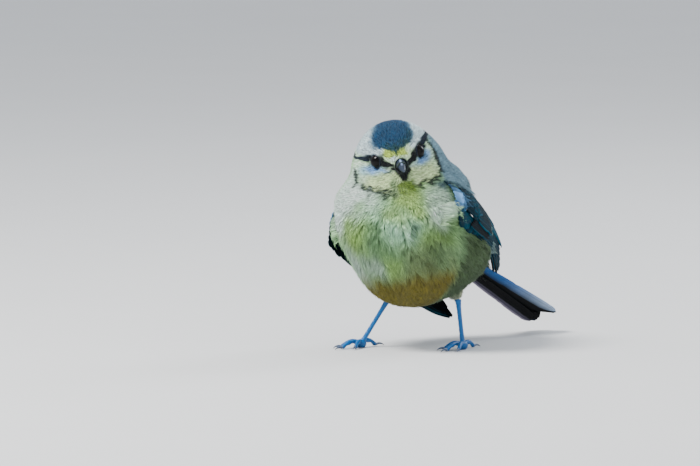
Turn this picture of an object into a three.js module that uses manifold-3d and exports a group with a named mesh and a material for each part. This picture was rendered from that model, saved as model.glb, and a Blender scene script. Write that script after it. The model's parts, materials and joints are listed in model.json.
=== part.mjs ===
// A blue tit, life size, standing on both feet with its head turned to its left.
// Millimetres, +Z up. The body faces -Y and the bird's left side is +X.
import * as THREE from "three";
import { mergeVertices } from "three/addons/utils/BufferGeometryUtils.js";
import Module from "manifold-3d";

const wasm = await Module();
wasm.setup();

// Driving dimensions of the bird
const WING_LENGTH = 62; // bend of the wing to the tip of the longest primary
const WING_DEPTH = 19; // lower edge to upper edge over the greater coverts
const TAIL_LENGTH = 50;
const TAIL_HALF_WIDTH = 8.5; // closed tail, at its tip
const TARSUS_WIDTH = 1.6;
const BILL_LENGTH = 9; // with the part among the feathers
const BILL_WIDTH = 3.8;
const EYE_RADIUS = 2.5;
const MIDDLE_TOE = 9.6; // without its claw
const CLAW_LENGTH = 4;
const VANE_THICKNESS = 0.55;
const GAP = 0.3; // between nodes that touch
const BLEND = 5.5; // how softly the plumage masses run into one another

// Colours
const COLOURS = {
  crown: 0x5f7f9a,
  cheek: 0xe9ecc0,
  breast: 0xd5dd8a,
  wing: 0x2c5c86,
  tail: 0x36618c,
  leg: 0x3f7fae,
  claw: 0x2b2a30,
  bill: 0x1d2126,
  eye: 0x0c0a0a,
};

const radians = THREE.MathUtils.degToRad;

// A frame at a point: tilted about its Y axis, nodded about X, then turned about Z, in degrees.
function frameAt(place, { turn = 0, nod = 0, tilt = 0 } = {}) {
  const angles = new THREE.Euler(radians(nod), radians(tilt), radians(turn), "ZXY");
  return new THREE.Matrix4().makeRotationFromEuler(angles).setPosition(...place);
}

const BODY = frameAt([0, 0, 39.7], { tilt: -9 });
const HEAD = frameAt([-1.7, -9.5, 67.6], { turn: 35, nod: 8, tilt: -13 });

// Plumage masses
// Each is an ellipsoid: its centre and half sizes in the body's or the head's frame, and its slope.
const BODY_MASSES = [
  { name: "breast", centre: [0, -5, 5], half: [24.5, 22.5, 20] },
  { name: "belly", centre: [0, -1, -7], half: [20.5, 22, 18] },
  { name: "back", centre: [2.3, 9.7, 10.8], half: [16.3, 17.2, 15.8] },
  { name: "left flank", centre: [11, 8, -6], half: [12.5, 17, 14] },
  { name: "right flank", centre: [-10, 8, -6], half: [12, 17, 14] },
  { name: "rump", centre: [0, 23, -4], half: [12.5, 15, 10.5], slope: -20 },
  { name: "tail coverts", centre: [1.5, 35, -11], half: [7, 13, 5], slope: -22 },
  { name: "neck", centre: [-0.2, -2, 18.5], half: [17.2, 16, 12] },
  { name: "right shoulder", centre: [-14.7, -8.5, 14.4], half: [7.8, 9, 6.2] },
];
const HEAD_MASSES = [
  { name: "crown", centre: [0, 3, 1.4], half: [12.2, 11.3, 10.5] },
  { name: "left cheek", centre: [6.8, 2.8, -4], half: [9.2, 8.3, 8.6] },
  { name: "right cheek", centre: [-6.3, 2.6, -4], half: [8.8, 8.2, 8.6] },
  { name: "face", centre: [0, -6.5, -0.6], half: [6.6, 6.8, 6.2] },
  { name: "chin", centre: [0, -4, -7.5], half: [8, 7, 6] },
  { name: "nape", centre: [0, 8, -3], half: [11.5, 9, 11] },
];

function massIn(frame, { centre, half, slope = 0 }) {
  const place = frame.clone().multiply(frameAt(centre, { nod: slope }));
  return { inverse: place.invert(), half: new THREE.Vector3(...half) };
}
const masses = [
  ...BODY_MASSES.map((m) => massIn(BODY, m)),
  ...HEAD_MASSES.map((m) => massIn(HEAD, m)),
];

// About how far a point is outside the plumage, in mm; negative inside it.
function outsidePlumage(point) {
  let nearest = Infinity;
  for (const { inverse, half } of masses) {
    const local = point.clone().applyMatrix4(inverse).divide(half);
    const reach = local.length();
    const slope = Math.max(local.divide(half).length(), 1e-9);
    const outside = (reach * (reach - 1)) / slope;
    const meet = Math.max(BLEND - Math.abs(nearest - outside), 0);
    nearest = Math.min(nearest, outside) - meet ** 2 / (4 * BLEND);
  }
  return nearest;
}

// Shape tools
// A geometry as a solid, its faces pointing out.
function solid(geometry) {
  geometry.deleteAttribute("normal");
  geometry.deleteAttribute("uv");
  const merged = mergeVertices(geometry, 1e-4);
  const vertProperties = new Float32Array(merged.getAttribute("position").array);
  const triVerts = new Uint32Array(merged.index.array);
  const make = () => new wasm.Manifold(new wasm.Mesh({ numProp: 3, vertProperties, triVerts }));
  const made = make();
  if (made.volume() > 0) return made;
  for (let i = 0; i < triVerts.length; i += 3) {
    [triVerts[i + 1], triVerts[i + 2]] = [triVerts[i + 2], triVerts[i + 1]];
  }
  return make();
}

const joined = (solids) => solids.reduce((whole, piece) => whole.add(piece));

// Only the largest closed surface of a solid.
function largest(whole) {
  const pieces = whole.decompose();
  return pieces.reduce((a, b) => (b.volume() > a.volume() ? b : a));
}

function geometryOf(whole) {
  const { numProp, vertProperties, triVerts } = whole.getMesh();
  const places = new Float32Array((vertProperties.length / numProp) * 3);
  for (let i = 0; i * 3 < places.length; i++) {
    places.set(vertProperties.subarray(i * numProp, i * numProp + 3), i * 3);
  }
  const geometry = new THREE.BufferGeometry();
  geometry.setAttribute("position", new THREE.BufferAttribute(places, 3));
  geometry.setIndex(new THREE.BufferAttribute(triVerts, 1));
  geometry.computeVertexNormals();
  return geometry;
}

// Where a ray from inside the plumage comes out of it.
function plumageEdge(start, direction, grow = 0) {
  const along = (r) => direction.clone().multiplyScalar(r).add(start);
  const past = (r) => outsidePlumage(along(r)) > grow;
  const STEP = 0.8;
  let far = STEP;
  while (!past(far)) far += STEP;
  let near = far - STEP;
  for (let k = 0; k < 12; k++) {
    const middle = (near + far) / 2;
    if (past(middle)) far = middle;
    else near = middle;
  }
  return along(near);
}

// The plumage seen from a centre: a sphere whose points move out to where the plumage ends.
function plumageAround(centre, detail, grow = 0) {
  const form = new THREE.IcosahedronGeometry(1, detail);
  const at = form.getAttribute("position");
  const direction = new THREE.Vector3();
  const start = new THREE.Vector3(...centre);
  for (let i = 0; i < at.count; i++) {
    direction.fromBufferAttribute(at, i).normalize();
    const place = plumageEdge(start, direction, grow);
    at.setXYZ(i, place.x, place.y, place.z);
  }
  return form;
}

// A solid swept along a curve. section(t) gives the half width and half height there, and
// outline(turn) the shape of the section, a circle unless it says otherwise.
const roundOutline = (turn) => [Math.cos(turn), Math.sin(turn)];
function swept(curve, up, sides, steps, section, outline = roundOutline) {
  const form = new THREE.CylinderGeometry(1, 1, 1, sides, steps);
  const at = form.getAttribute("position");
  const upward = new THREE.Vector3(...up);
  for (let i = 0; i < at.count; i++) {
    const t = THREE.MathUtils.clamp(at.getY(i) + 0.5, 0, 1);
    const along = curve.getTangent(t);
    const side = new THREE.Vector3().crossVectors(along, upward).normalize();
    const lift = new THREE.Vector3().crossVectors(side, along);
    const turn = Math.atan2(at.getZ(i), at.getX(i));
    const reach = Math.hypot(at.getX(i), at.getZ(i)) > 0.5 ? 1 : 0;
    const [width, height] = section(t, turn);
    const [across, over] = outline(turn);
    const place = curve.getPoint(t);
    place.addScaledVector(side, across * width * reach);
    place.addScaledVector(lift, over * height * reach);
    at.setXYZ(i, place.x, place.y, place.z);
  }
  return form;
}

const curveThrough = (points) =>
  new THREE.CatmullRomCurve3(points.map((p) => new THREE.Vector3(...p)));

// A feather's vane: from root to tip on a curved sheet, both faces split into triangles alike.
// place(u, v, h) gives the point of the sheet at u along it, v across it and h above it.
const VANE_OUTLINE = [
  [0, 0.5],
  [0.36, 0.92],
  [0.72, 1],
  [0.93, 0.64],
  [1, 0.2],
];
function vane({ root, tip, width, rise, bow = 0, place }) {
  const along = new THREE.Vector2(tip[0] - root[0], tip[1] - root[1]);
  const across = new THREE.Vector2(-along.y, along.x).normalize();
  const points = [];
  const faces = [];
  VANE_OUTLINE.forEach(([t, share], k) => {
    const middle = bow * 4 * t * (1 - t);
    for (const side of [-1, 1]) {
      const off = middle + (side * share * width) / 2;
      const u = root[0] + along.x * t + across.x * off;
      const v = root[1] + along.y * t + across.y * off;
      points.push(...place(u, v, rise).toArray());
      points.push(...place(u, v, rise + VANE_THICKNESS).toArray());
    }
    if (k === 0) return;
    const a = 4 * (k - 1);
    const b = 4 * k;
    faces.push(a + 1, a + 3, b + 1, a + 3, b + 3, b + 1);
    faces.push(a, b, a + 2, a + 2, b, b + 2);
    faces.push(a, a + 1, b, a + 1, b + 1, b);
    faces.push(a + 2, b + 2, a + 3, a + 3, b + 2, b + 3);
  });
  const last = points.length / 3 - 4;
  faces.push(0, 2, 1, 1, 2, 3);
  faces.push(last, last + 1, last + 2, last + 1, last + 3, last + 2);
  const form = new THREE.BufferGeometry();
  form.setAttribute("position", new THREE.Float32BufferAttribute(points, 3));
  form.setIndex(faces);
  return solid(form);
}

// Head, neck and torso
const NECK_THICKNESS = 7;
const HEAD_DETAIL = 7;
const TORSO_DETAIL = 9;
const TORSO_CENTRE = [0, 9, 38];
const FAR = 200;

// The half space on the far side of a plane through a point of a frame, tipped by an angle.
function halfSpace(frame, height, tip, above) {
  const block = new THREE.BoxGeometry(FAR, FAR, FAR);
  block.translate(0, 0, above ? FAR / 2 : -FAR / 2);
  const place = frame.clone().multiply(frameAt([0, 0, height], { nod: tip }));
  return solid(block.applyMatrix4(place));
}

const NECK_FRAME = frameAt([-1.5, -6, 58], { turn: 20, tilt: -10 });
const NECK_TIP = 12;

function headPlumage() {
  const centre = new THREE.Vector3(0, 0, -1).applyMatrix4(HEAD).toArray();
  const whole = solid(plumageAround(centre, HEAD_DETAIL));
  return whole.intersect(halfSpace(NECK_FRAME, GAP / 2, NECK_TIP, true));
}

function neckPlumage() {
  const whole = solid(plumageAround([-1.5, -5, 54], 5));
  return whole
    .intersect(halfSpace(NECK_FRAME, -GAP / 2, NECK_TIP, false))
    .intersect(halfSpace(NECK_FRAME, -NECK_THICKNESS + GAP / 2, NECK_TIP, true));
}

const belowNeck = (gap) => halfSpace(NECK_FRAME, -NECK_THICKNESS - gap, NECK_TIP, false);

function torsoSolid() {
  let whole = solid(plumageAround(TORSO_CENTRE, TORSO_DETAIL)).intersect(belowNeck(GAP / 2));
  for (const wing of Object.values(WINGS)) whole = whole.subtract(wingBed(wing));
  return largest(whole);
}

const torsoAndGap = solid(plumageAround(TORSO_CENTRE, TORSO_DETAIL, GAP));

// Eyes
// Each looks out of the head along a line that starts inside it.
const EYE_LINE = { from: [0, -3.2, 1.4], facing: [0.862, -0.505, 0.03] };
const EYE_OUT = 1.3; // how far the eyeball stands out of the plumage

function eyeFrame(side) {
  const from = new THREE.Vector3(...EYE_LINE.from).applyMatrix4(HEAD);
  const facing = new THREE.Vector3(side, 1, 1).multiply(new THREE.Vector3(...EYE_LINE.facing));
  facing.transformDirection(HEAD);
  const centre = plumageEdge(from, facing).addScaledVector(facing, EYE_OUT - EYE_RADIUS);
  return { centre, facing };
}

function eyeball(side, grow = 0) {
  const ball = new THREE.SphereGeometry(EYE_RADIUS + grow, 14, 10);
  return ball.translate(...eyeFrame(side).centre.toArray());
}

// The rim of the lids: a low ring where the eyeball leaves the head.
function lidRing(side) {
  const { centre, facing } = eyeFrame(side);
  const ring = new THREE.TorusGeometry(EYE_RADIUS + 0.25, 0.5, 5, 16);
  const turn = new THREE.Quaternion().setFromUnitVectors(new THREE.Vector3(0, 0, 1), facing);
  return ring.applyQuaternion(turn).translate(...centre.addScaledVector(facing, 1).toArray());
}

// Bill
const BILL_ROOT = [0.2, -10.6, -0.4];
const BILL_SLOPE = 0.12; // how far the bill drops for each mm forward
function mandible(upper, grow = 0) {
  const reach = upper ? BILL_LENGTH : BILL_LENGTH * 0.9;
  const [x, y, z] = BILL_ROOT;
  const sign = upper ? 1 : -1;
  const seam = (sign * GAP) / 2 - sign * grow;
  const curve = curveThrough([
    [x, y + grow * 1.4, z + seam],
    [x, y - reach * 0.5, z - BILL_SLOPE * reach * 0.45 + seam],
    [x, y - reach, z - BILL_SLOPE * reach * 1.15 + seam],
  ]);
  const section = (t) => {
    const taper = Math.max(0, 1 - t ** 1.5) ** 0.8 * 0.95 + 0.05;
    const height = upper ? 2.2 : 1.4;
    return [(BILL_WIDTH / 2) * taper + grow, height * taper + 2 * grow];
  };
  const outline = (turn) => [Math.cos(turn), Math.max(0, sign * Math.sin(turn)) * sign];
  return swept(curve, [0, 0, 1], 14, 8, section, outline).applyMatrix4(HEAD);
}

// The pit of a nostril, where the upper mandible leaves the feathers.
const NOSTRIL = { side: 1.2, forward: 3.5, up: 0.8, radius: 0.45 };
function nostril(side) {
  const [x, y, z] = BILL_ROOT;
  const pit = new THREE.SphereGeometry(NOSTRIL.radius, 7, 5).scale(1, 1.5, 0.8);
  pit.translate(x + side * NOSTRIL.side, y - NOSTRIL.forward, z + NOSTRIL.up);
  return solid(pit.applyMatrix4(HEAD));
}

const upperBill = () =>
  largest(solid(mandible(true)).subtract(nostril(1)).subtract(nostril(-1)));

function headSolid() {
  let head = headPlumage();
  for (const side of [1, -1]) {
    head = head.add(solid(lidRing(side))).subtract(solid(eyeball(side, GAP)));
  }
  for (const upper of [true, false]) {
    head = head.subtract(solid(mandible(upper, GAP)));
  }
  return largest(head);
}

// Wings
// Each wing's sheet goes from the bend of the wing to its tip, places in the body's frame, and
// bulges round the body. The right wing hangs lower; the left one's primaries are let down by
// its spread.
const WINGS = {
  left: { bend: [21.3, -5.6, 10.2], tip: [7.6, 46.8, -14.4], facing: [0.86, 0.15, 0.48], bulge: 3.2, spread: 4 },
  right: { bend: [-23.5, -4.5, 8], tip: [-8.7, 45.2, -30.6], facing: [-0.9, 0.1, 0.35], bulge: 3.5, spread: 0 },
};
const WING_ROUND = 22; // radius of the sheet across the wing

// The point of a wing's sheet at u along it, v across it towards the back, and h out of it.
function wingSheet({ bend, tip, facing, bulge }) {
  const start = new THREE.Vector3(...bend);
  const along = new THREE.Vector3(...tip).sub(start).normalize();
  const out = new THREE.Vector3(...facing);
  out.addScaledVector(along, -out.dot(along)).normalize();
  const up = new THREE.Vector3().crossVectors(out, along);
  if (up.z < 0) up.negate();
  return (u, v, h) => {
    const share = u / WING_LENGTH;
    const lift = h + bulge * 4 * share * (1 - share) - (v * v) / (2 * WING_ROUND);
    const point = start.clone().addScaledVector(along, u).addScaledVector(up, v);
    return point.addScaledVector(out, lift).applyMatrix4(BODY);
  };
}

// The bed that a wing lies in on the body: everything from under the wing outwards.
const BED = { along: [-5, 64.5], across: [-9.6, 11.8], depth: 1.4, height: 22 };
function wingBed(wing, shrink = 0) {
  const place = wingSheet(wing);
  const form = new THREE.SphereGeometry(1, 22, 12);
  const at = form.getAttribute("position");
  const [halfAlong, halfAcross] = [BED.along, BED.across].map(([a, b]) => (b - a) / 2 - shrink);
  for (let i = 0; i < at.count; i++) {
    const [x, y, z] = [at.getX(i), at.getY(i), at.getZ(i)];
    const square = Math.hypot(x, y) / Math.max(Math.cbrt(Math.abs(x) ** 3 + Math.abs(y) ** 3), 1e-6);
    const u = (BED.along[0] + BED.along[1]) / 2 + halfAlong * x * square;
    const v = (BED.across[0] + BED.across[1]) / 2 + halfAcross * y * square * (1 - 0.22 * x);
    const h = z < 0 ? shrink - BED.depth * Math.sqrt(-z) : shrink + BED.height * z;
    const spot = place(u, v, h);
    at.setXYZ(i, spot.x, spot.y, spot.z);
  }
  return solid(form);
}

// The tiers of the folded wing, from the lowest feather up. Each goes evenly from its first
// feather to its last: root and tip on the sheet, width, and height above the sheet.
const PRIMARY_REACH = [0.95, 0.99, 1, 0.98, 0.95, 0.91, 0.86, 0.82, 0.79];
const WING_TIERS = [
  {
    name: "primaries",
    count: 9,
    root: [[8, -6.5], [19, -2.5]],
    tip: [[WING_LENGTH, -3], [WING_LENGTH, 1.5]],
    fan: 1,
    reach: (i) => PRIMARY_REACH[i],
    width: 5,
    rise: [0, 1.5],
  },
  {
    name: "secondaries",
    count: 6,
    root: [[19, -1.5], [21, 5]],
    tip: [[49, 0], [46, 5.5]],
    width: 5.4,
    rise: [1.7, 2.7],
  },
  {
    name: "tertials",
    count: 3,
    root: [[20, 6], [19, 8.6]],
    tip: [[42.5, 6.2], [31, 9.4]],
    width: 6.4,
    rise: [2.9, 3.4],
  },
  {
    name: "primary coverts",
    count: 5,
    root: [[7, -6.6], [12, -4.4]],
    tip: [[22, -6.4], [26, -3.2]],
    width: 3.2,
    rise: [1.2, 2.2],
  },
  {
    name: "greater coverts",
    count: 7,
    root: [[11, -4], [12, 9]],
    tip: [[24, -2.6], [24.5, 9.6]],
    width: 4.3,
    rise: [2.5, 3.4],
  },
  {
    name: "median coverts",
    count: 6,
    root: [[6, -3.5], [7, 8.5]],
    tip: [[14.5, -2.6], [15.5, 9]],
    width: 4.4,
    rise: [3, 3.9],
  },
];

const between = (from, to, share) => from + (to - from) * share;
const pointBetween = ([from, to], share) => from.map((c, k) => between(c, to[k], share));

function wingFeathers(place, spread) {
  const made = [];
  for (const { count, root, tip, width, rise, fan = 0, reach = () => 1 } of WING_TIERS) {
    for (let i = 0; i < count; i++) {
      const share = i / (count - 1);
      const [tipAlong, tipAcross] = pointBetween(tip, share);
      made.push(
        vane({
          root: pointBetween(root, share),
          tip: [tipAlong * reach(i), tipAcross - fan * spread * (1 - share)],
          width,
          rise: between(...rise, share),
          place,
        }),
      );
    }
  }
  return made;
}

// The arm under the coverts, a low rounded mass that all the feathers root in.
function wingArm(place) {
  const form = new THREE.SphereGeometry(1, 14, 8);
  const at = form.getAttribute("position");
  for (let i = 0; i < at.count; i++) {
    const u = 11 + 14 * at.getX(i);
    const v = 1.5 + (WING_DEPTH / 2) * at.getY(i);
    const spot = place(u, v, 0.6 + 3.1 * at.getZ(i));
    at.setXYZ(i, spot.x, spot.y, spot.z);
  }
  return solid(form);
}

function wingSolid(wing) {
  const place = wingSheet(wing);
  const whole = joined([wingArm(place), ...wingFeathers(place, wing.spread)]);
  const bed = wingBed(wing, GAP).intersect(belowNeck(GAP * 1.5));
  return largest(whole.subtract(torsoAndGap.subtract(bed)));
}

// Tail
const TAIL_FRAME = BODY.clone().multiply(frameAt([0.3, 34, -10.8], { turn: -9.5, nod: -28.5, tilt: -13 }));
const TAIL_FORK = [47, 48, 49, 50, 50, 48.5]; // lengths from the middle pair outwards
const TAIL_STEP = 0.17; // each feather lies this far under the next one in

const onTail = (u, v, h) =>
  new THREE.Vector3(v, u, h - (v * v) / 60).applyMatrix4(TAIL_FRAME);

function tailSolid() {
  const feathers = [];
  const width = 5.6;
  TAIL_FORK.forEach((length, k) => {
    for (const side of [1, -1]) {
      const share = (k + 0.5) / TAIL_FORK.length;
      const reach = (length / 50) * TAIL_LENGTH;
      feathers.push(
        vane({
          root: [0, side * 3 * share],
          tip: [reach, side * (TAIL_HALF_WIDTH - width / 2) * share],
          width,
          rise: -TAIL_STEP * (2 * k + (side > 0 ? 0 : 1)),
          place: onTail,
        }),
      );
    }
  });
  return largest(joined(feathers).subtract(torsoAndGap));
}

// Legs
// Places on the floor of the two heels, and of the ankles that the feathered thighs end at.
const LEGS = {
  left: { heel: [16, 7, 1.4], ankle: [12.3, 10.5, 16.8], hip: [8, 8, 29], heading: -8 },
  right: { heel: [-18, -4, 1.4], ankle: [-10.5, 1.5, 16.5], hip: [-6, 4, 28], heading: -16 },
};
const SCUTES = 8; // plates down the front of the tarsus
const SCUTE_RISE = 0.16;

function tarsusForm({ heel, ankle }, grow = 0) {
  const curve = curveThrough([ankle, heel.map((c, k) => between(ankle[k], c, 0.5)), heel]);
  const section = (t, turn) => {
    const flare = 0.5 * Math.exp(-t * 9) + 0.42 * Math.exp((t - 1) * 9);
    const plate = (t * SCUTES * 3 + 0.01) % 3 < 2 ? SCUTE_RISE * Math.max(0, Math.sin(turn)) : 0;
    const half = TARSUS_WIDTH / 2 + flare + plate + grow;
    return [half * 0.86, half * 1.08];
  };
  return swept(curve, [0, -1, 0], 8, SCUTES * 3, section);
}

function thighSolid(leg) {
  const curve = curveThrough([leg.hip, leg.hip.map((c, k) => between(c, leg.ankle[k], 0.6)), leg.ankle]);
  const section = (t) => {
    const half = between(6.5, 2.3, t ** 0.8) * (t > 0.95 ? 0.75 : 1);
    return [half * 0.9, half];
  };
  const thigh = solid(swept(curve, [0, 1, 0.3], 14, 8, section));
  return largest(thigh.subtract(torsoAndGap).subtract(solid(tarsusForm(leg, GAP))));
}

// Toes: heading from the foot's own heading, length, and claw length as a share of the longest.
const TOES = [
  { name: "hallux", heading: 178, length: 0.7, claw: 1.15 },
  { name: "inner", heading: 27, length: 0.74, claw: 0.8 },
  { name: "middle", heading: 0, length: 1, claw: 0.95 },
  { name: "outer", heading: -24, length: 0.78, claw: 0.8 },
];
const TOE_RADIUS = 0.78;
const TOE_STEPS = 12; // three to each plate on top of the toe
const TOE_ARCH = 2.9;
const TIP_HEIGHT = 0.6;

// The upright plane that a toe bends in: its place out along the toe and up from the floor.
function toePlane(leg, side, toe) {
  const heading = radians(leg.heading + side * -toe.heading);
  const forward = [Math.sin(heading), -Math.cos(heading)];
  return (out, up) => [leg.heel[0] + forward[0] * out, leg.heel[1] + forward[1] * out, up];
}

function toeForm(leg, side, toe) {
  const at = toePlane(leg, side, toe);
  const reach = toe.length * MIDDLE_TOE;
  const curve = curveThrough([
    at(0, 1.5),
    at(reach * 0.32, TOE_ARCH * 0.8),
    at(reach * 0.66, TOE_ARCH * 0.72),
    at(reach, TIP_HEIGHT),
  ]);
  const section = (t, turn) => {
    const plate = (t * TOE_STEPS + 0.01) % 3 < 2 ? SCUTE_RISE * Math.max(0, Math.sin(turn)) : 0;
    const half = TOE_RADIUS * (1.05 - 0.2 * t) + plate;
    return [half, half * 0.95];
  };
  return solid(swept(curve, [0, 0, 1], 7, TOE_STEPS, section));
}

function clawForm(leg, side, toe) {
  const at = toePlane(leg, side, toe);
  const start = toe.length * MIDDLE_TOE + GAP;
  const reach = toe.claw * CLAW_LENGTH;
  const curve = curveThrough([
    at(start, TIP_HEIGHT + 0.05),
    at(start + reach * 0.35, TIP_HEIGHT + 0.28),
    at(start + reach * 0.68, TIP_HEIGHT + 0.05),
    at(start + reach * 0.88, 0.2),
  ]);
  const section = (t) => {
    const half = between(0.48, 0.14, t ** 1.2);
    return [half * 0.8, half];
  };
  const above = halfSpace(new THREE.Matrix4(), 0.05, 0, true);
  return solid(swept(curve, [0, 0, 1], 6, 5, section)).intersect(above);
}

function footSolid(leg, side) {
  const pad = new THREE.SphereGeometry(1.75, 10, 8).scale(1, 1.15, 0.95).translate(...leg.heel);
  const whole = joined([solid(pad), ...TOES.map((toe) => toeForm(leg, side, toe))]);
  const floor = halfSpace(new THREE.Matrix4(), 0, 0, true);
  return largest(whole.intersect(floor).subtract(solid(tarsusForm(leg, GAP))));
}

// The whole bird
const bird = new THREE.Group();
function addNode(name, whole, colour, roughness = 0.8) {
  const material = new THREE.MeshStandardMaterial({ color: colour, roughness, metalness: 0 });
  const mesh = new THREE.Mesh(geometryOf(whole), material);
  mesh.name = name;
  bird.add(mesh);
}

addNode("head", headSolid(), COLOURS.crown);
addNode("neck", neckPlumage(), COLOURS.cheek);
addNode("torso", torsoSolid(), COLOURS.breast);
addNode("tail", tailSolid(), COLOURS.tail);
addNode("bill_upper", upperBill(), COLOURS.bill, 0.4);
addNode("bill_lower", solid(mandible(false)), COLOURS.bill, 0.4);
for (const [word, side] of [["left", 1], ["right", -1]]) {
  const leg = LEGS[word];
  addNode(`eye_${word}`, solid(eyeball(side)), COLOURS.eye, 0.1);
  addNode(`wing_${word}`, wingSolid(WINGS[word]), COLOURS.wing);
  addNode(`thigh_${word}`, thighSolid(leg), COLOURS.breast);
  addNode(`tarsus_${word}`, solid(tarsusForm(leg)), COLOURS.leg, 0.5);
  addNode(`foot_${word}`, footSolid(leg, side), COLOURS.leg, 0.5);
  for (const toe of TOES) {
    addNode(`claw_${word}_${toe.name}`, clawForm(leg, side, toe), COLOURS.claw, 0.4);
  }
}

// The origin is on the floor, under the centre of the bird's own box.
const box = new THREE.Box3().setFromObject(bird);
const middle = box.getCenter(new THREE.Vector3());
bird.position.set(-middle.x, -middle.y, 0);

export default bird;
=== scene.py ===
"""A blue tit, life size, standing with its head turned to its left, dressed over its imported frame."""

import json
from itertools import product
from math import cos, exp, pi, radians, sin, sqrt

import bpy
import numpy as np
from bpy.props import FloatProperty, FloatVectorProperty, IntProperty, PointerProperty
from mathutils import Matrix, Vector
from mathutils.bvhtree import BVHTree

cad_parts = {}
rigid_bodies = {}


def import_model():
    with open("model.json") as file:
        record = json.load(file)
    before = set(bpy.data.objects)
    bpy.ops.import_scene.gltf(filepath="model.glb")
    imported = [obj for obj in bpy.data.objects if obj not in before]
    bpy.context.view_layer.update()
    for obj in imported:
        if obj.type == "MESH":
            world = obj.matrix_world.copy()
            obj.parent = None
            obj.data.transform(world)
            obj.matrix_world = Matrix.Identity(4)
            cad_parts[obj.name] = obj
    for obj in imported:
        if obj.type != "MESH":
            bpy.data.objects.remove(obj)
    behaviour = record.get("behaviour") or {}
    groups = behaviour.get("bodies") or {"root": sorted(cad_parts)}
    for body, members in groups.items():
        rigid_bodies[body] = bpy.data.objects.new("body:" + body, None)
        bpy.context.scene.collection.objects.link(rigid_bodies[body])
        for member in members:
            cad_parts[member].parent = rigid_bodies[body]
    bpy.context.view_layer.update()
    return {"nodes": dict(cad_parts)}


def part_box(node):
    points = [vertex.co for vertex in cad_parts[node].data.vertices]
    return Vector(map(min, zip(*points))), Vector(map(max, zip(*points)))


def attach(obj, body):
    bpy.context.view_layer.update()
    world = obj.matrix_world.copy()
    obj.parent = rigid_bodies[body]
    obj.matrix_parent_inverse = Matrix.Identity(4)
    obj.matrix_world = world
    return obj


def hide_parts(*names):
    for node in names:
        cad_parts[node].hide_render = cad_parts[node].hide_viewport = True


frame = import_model()

bl_info = {
    "name": "Blue tit",
    "version": (1, 0, 0),
    "blender": (4, 5, 0),
    "location": "3D View > Sidebar > Blue tit",
    "description": "A life-size blue tit with feathers, bill, eyes and legs",
    "category": "Object",
}

MM = 0.001
BODY_NODES = ("head", "neck", "torso", "thigh_left", "thigh_right")
SIDES = (("left", 1), ("right", -1))


# Places. Sizes in this part are millimetres; the bird faces -Y and its left is +X.


def frame_at(place, turn=0.0, nod=0.0, tilt=0.0):
    """A frame at a point, tilted about Y, nodded about X, then turned about Z, in degrees."""
    spin = (
        Matrix.Rotation(radians(turn), 4, "Z")
        @ Matrix.Rotation(radians(nod), 4, "X")
        @ Matrix.Rotation(radians(tilt), 4, "Y")
    )
    return np.array(Matrix.Translation(Vector(place)) @ spin)


def box_centre(node):
    low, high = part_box(node)
    return np.array((low + high) / 2) / MM


SHIFT = np.array([1.44, -24.827, 0.0])  # from the bird's own axes to the middle of its box
BODY = frame_at(SHIFT + [0, 0, 39.7], tilt=-9)
HEAD = frame_at(SHIFT + [-1.7, -9.5, 67.6], turn=35, nod=8, tilt=-13)
NECK = frame_at(SHIFT + [-1.5, -6, 55], turn=20, tilt=-10) @ frame_at([0, 0, 0], nod=12)
TAIL = BODY @ frame_at([0.3, 34, -10.8], turn=-9.5, nod=-28.5, tilt=-13)
BILL_ROOT = np.array([0.2, -10.6, -0.4])  # in the head's frame
EYE_FACING = np.array([0.862, -0.505, 0.03])


def placed(matrix, points):
    """Points of a frame, in the bird's own space."""
    points = np.asarray(points, float)
    return points @ matrix[:3, :3].T + matrix[:3, 3]


def seen_from(matrix, points):
    """Points of the bird's own space, in a frame."""
    return (np.asarray(points, float) - matrix[:3, 3]) @ matrix[:3, :3]


def unit(vectors):
    length = np.linalg.norm(vectors, axis=-1, keepdims=True)
    return vectors / np.maximum(length, 1e-9)


def across(vectors, normals):
    """The part of each vector that lies along the surface, one long."""
    lying = vectors - normals * (vectors * normals).sum(-1, keepdims=True)
    return unit(lying)


def soft(value, low, high):
    """0 below low, 1 above high, smooth between."""
    share = np.clip((np.asarray(value, float) - low) / (high - low), 0, 1)
    return share * share * (3 - 2 * share)


def ripple(points, pitch, seed, waves=7):
    """A smooth wandering value from about -1 to 1, whose waves are about a pitch apart."""
    rng = np.random.default_rng(seed)
    total = np.zeros(len(points))
    for _ in range(waves):
        heading = unit(rng.normal(size=3)) * 2 * pi / (pitch * rng.uniform(0.7, 1.5))
        total += np.sin(points @ heading + rng.uniform(0, 2 * pi))
    return total / sqrt(waves)


def globe(matrix, points):
    """Longitude from straight ahead, towards the left side, and latitude, in degrees."""
    local = seen_from(matrix, points)
    lon = np.degrees(np.arctan2(local[:, 0], -local[:, 1]))
    lat = np.degrees(np.arcsin(np.clip(unit(local)[:, 2], -1, 1)))
    return lon, lat


def curve_through(points, share):
    """Points along a smooth curve through a few points, share going from 0 to 1."""
    points = np.asarray(points, float)
    ends = [2 * points[0] - points[1], *points, 2 * points[-1] - points[-2]]
    at = np.asarray(share, float) * (len(points) - 1)
    first = np.clip(at.astype(int), 0, len(points) - 2)
    t = (at - first)[:, None]
    a, b, c, d = (np.array(ends)[first + k] for k in range(4))
    return 0.5 * (
        2 * b + (c - a) * t + (2 * a - 5 * b + 4 * c - d) * t**2 + (3 * b - a - 3 * c + d) * t**3
    )


# The user's sizes and colours


def paint(code):
    """A colour as the eye sees it, written as six hex digits, in the scene's linear values."""
    parts = [int(code[k : k + 2], 16) / 255 for k in (0, 2, 4)]
    return [c / 12.92 if c <= 0.04045 else ((c + 0.055) / 1.055) ** 2.4 for c in parts]


def length_value(name, text, mm):
    return FloatProperty(name=name, description=text, default=mm * MM, min=0, unit="LENGTH", precision=5)


def colour_value(name, text, code):
    return FloatVectorProperty(
        name=name, description=text, default=paint(code), subtype="COLOR", size=3, min=0, max=1
    )


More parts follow.
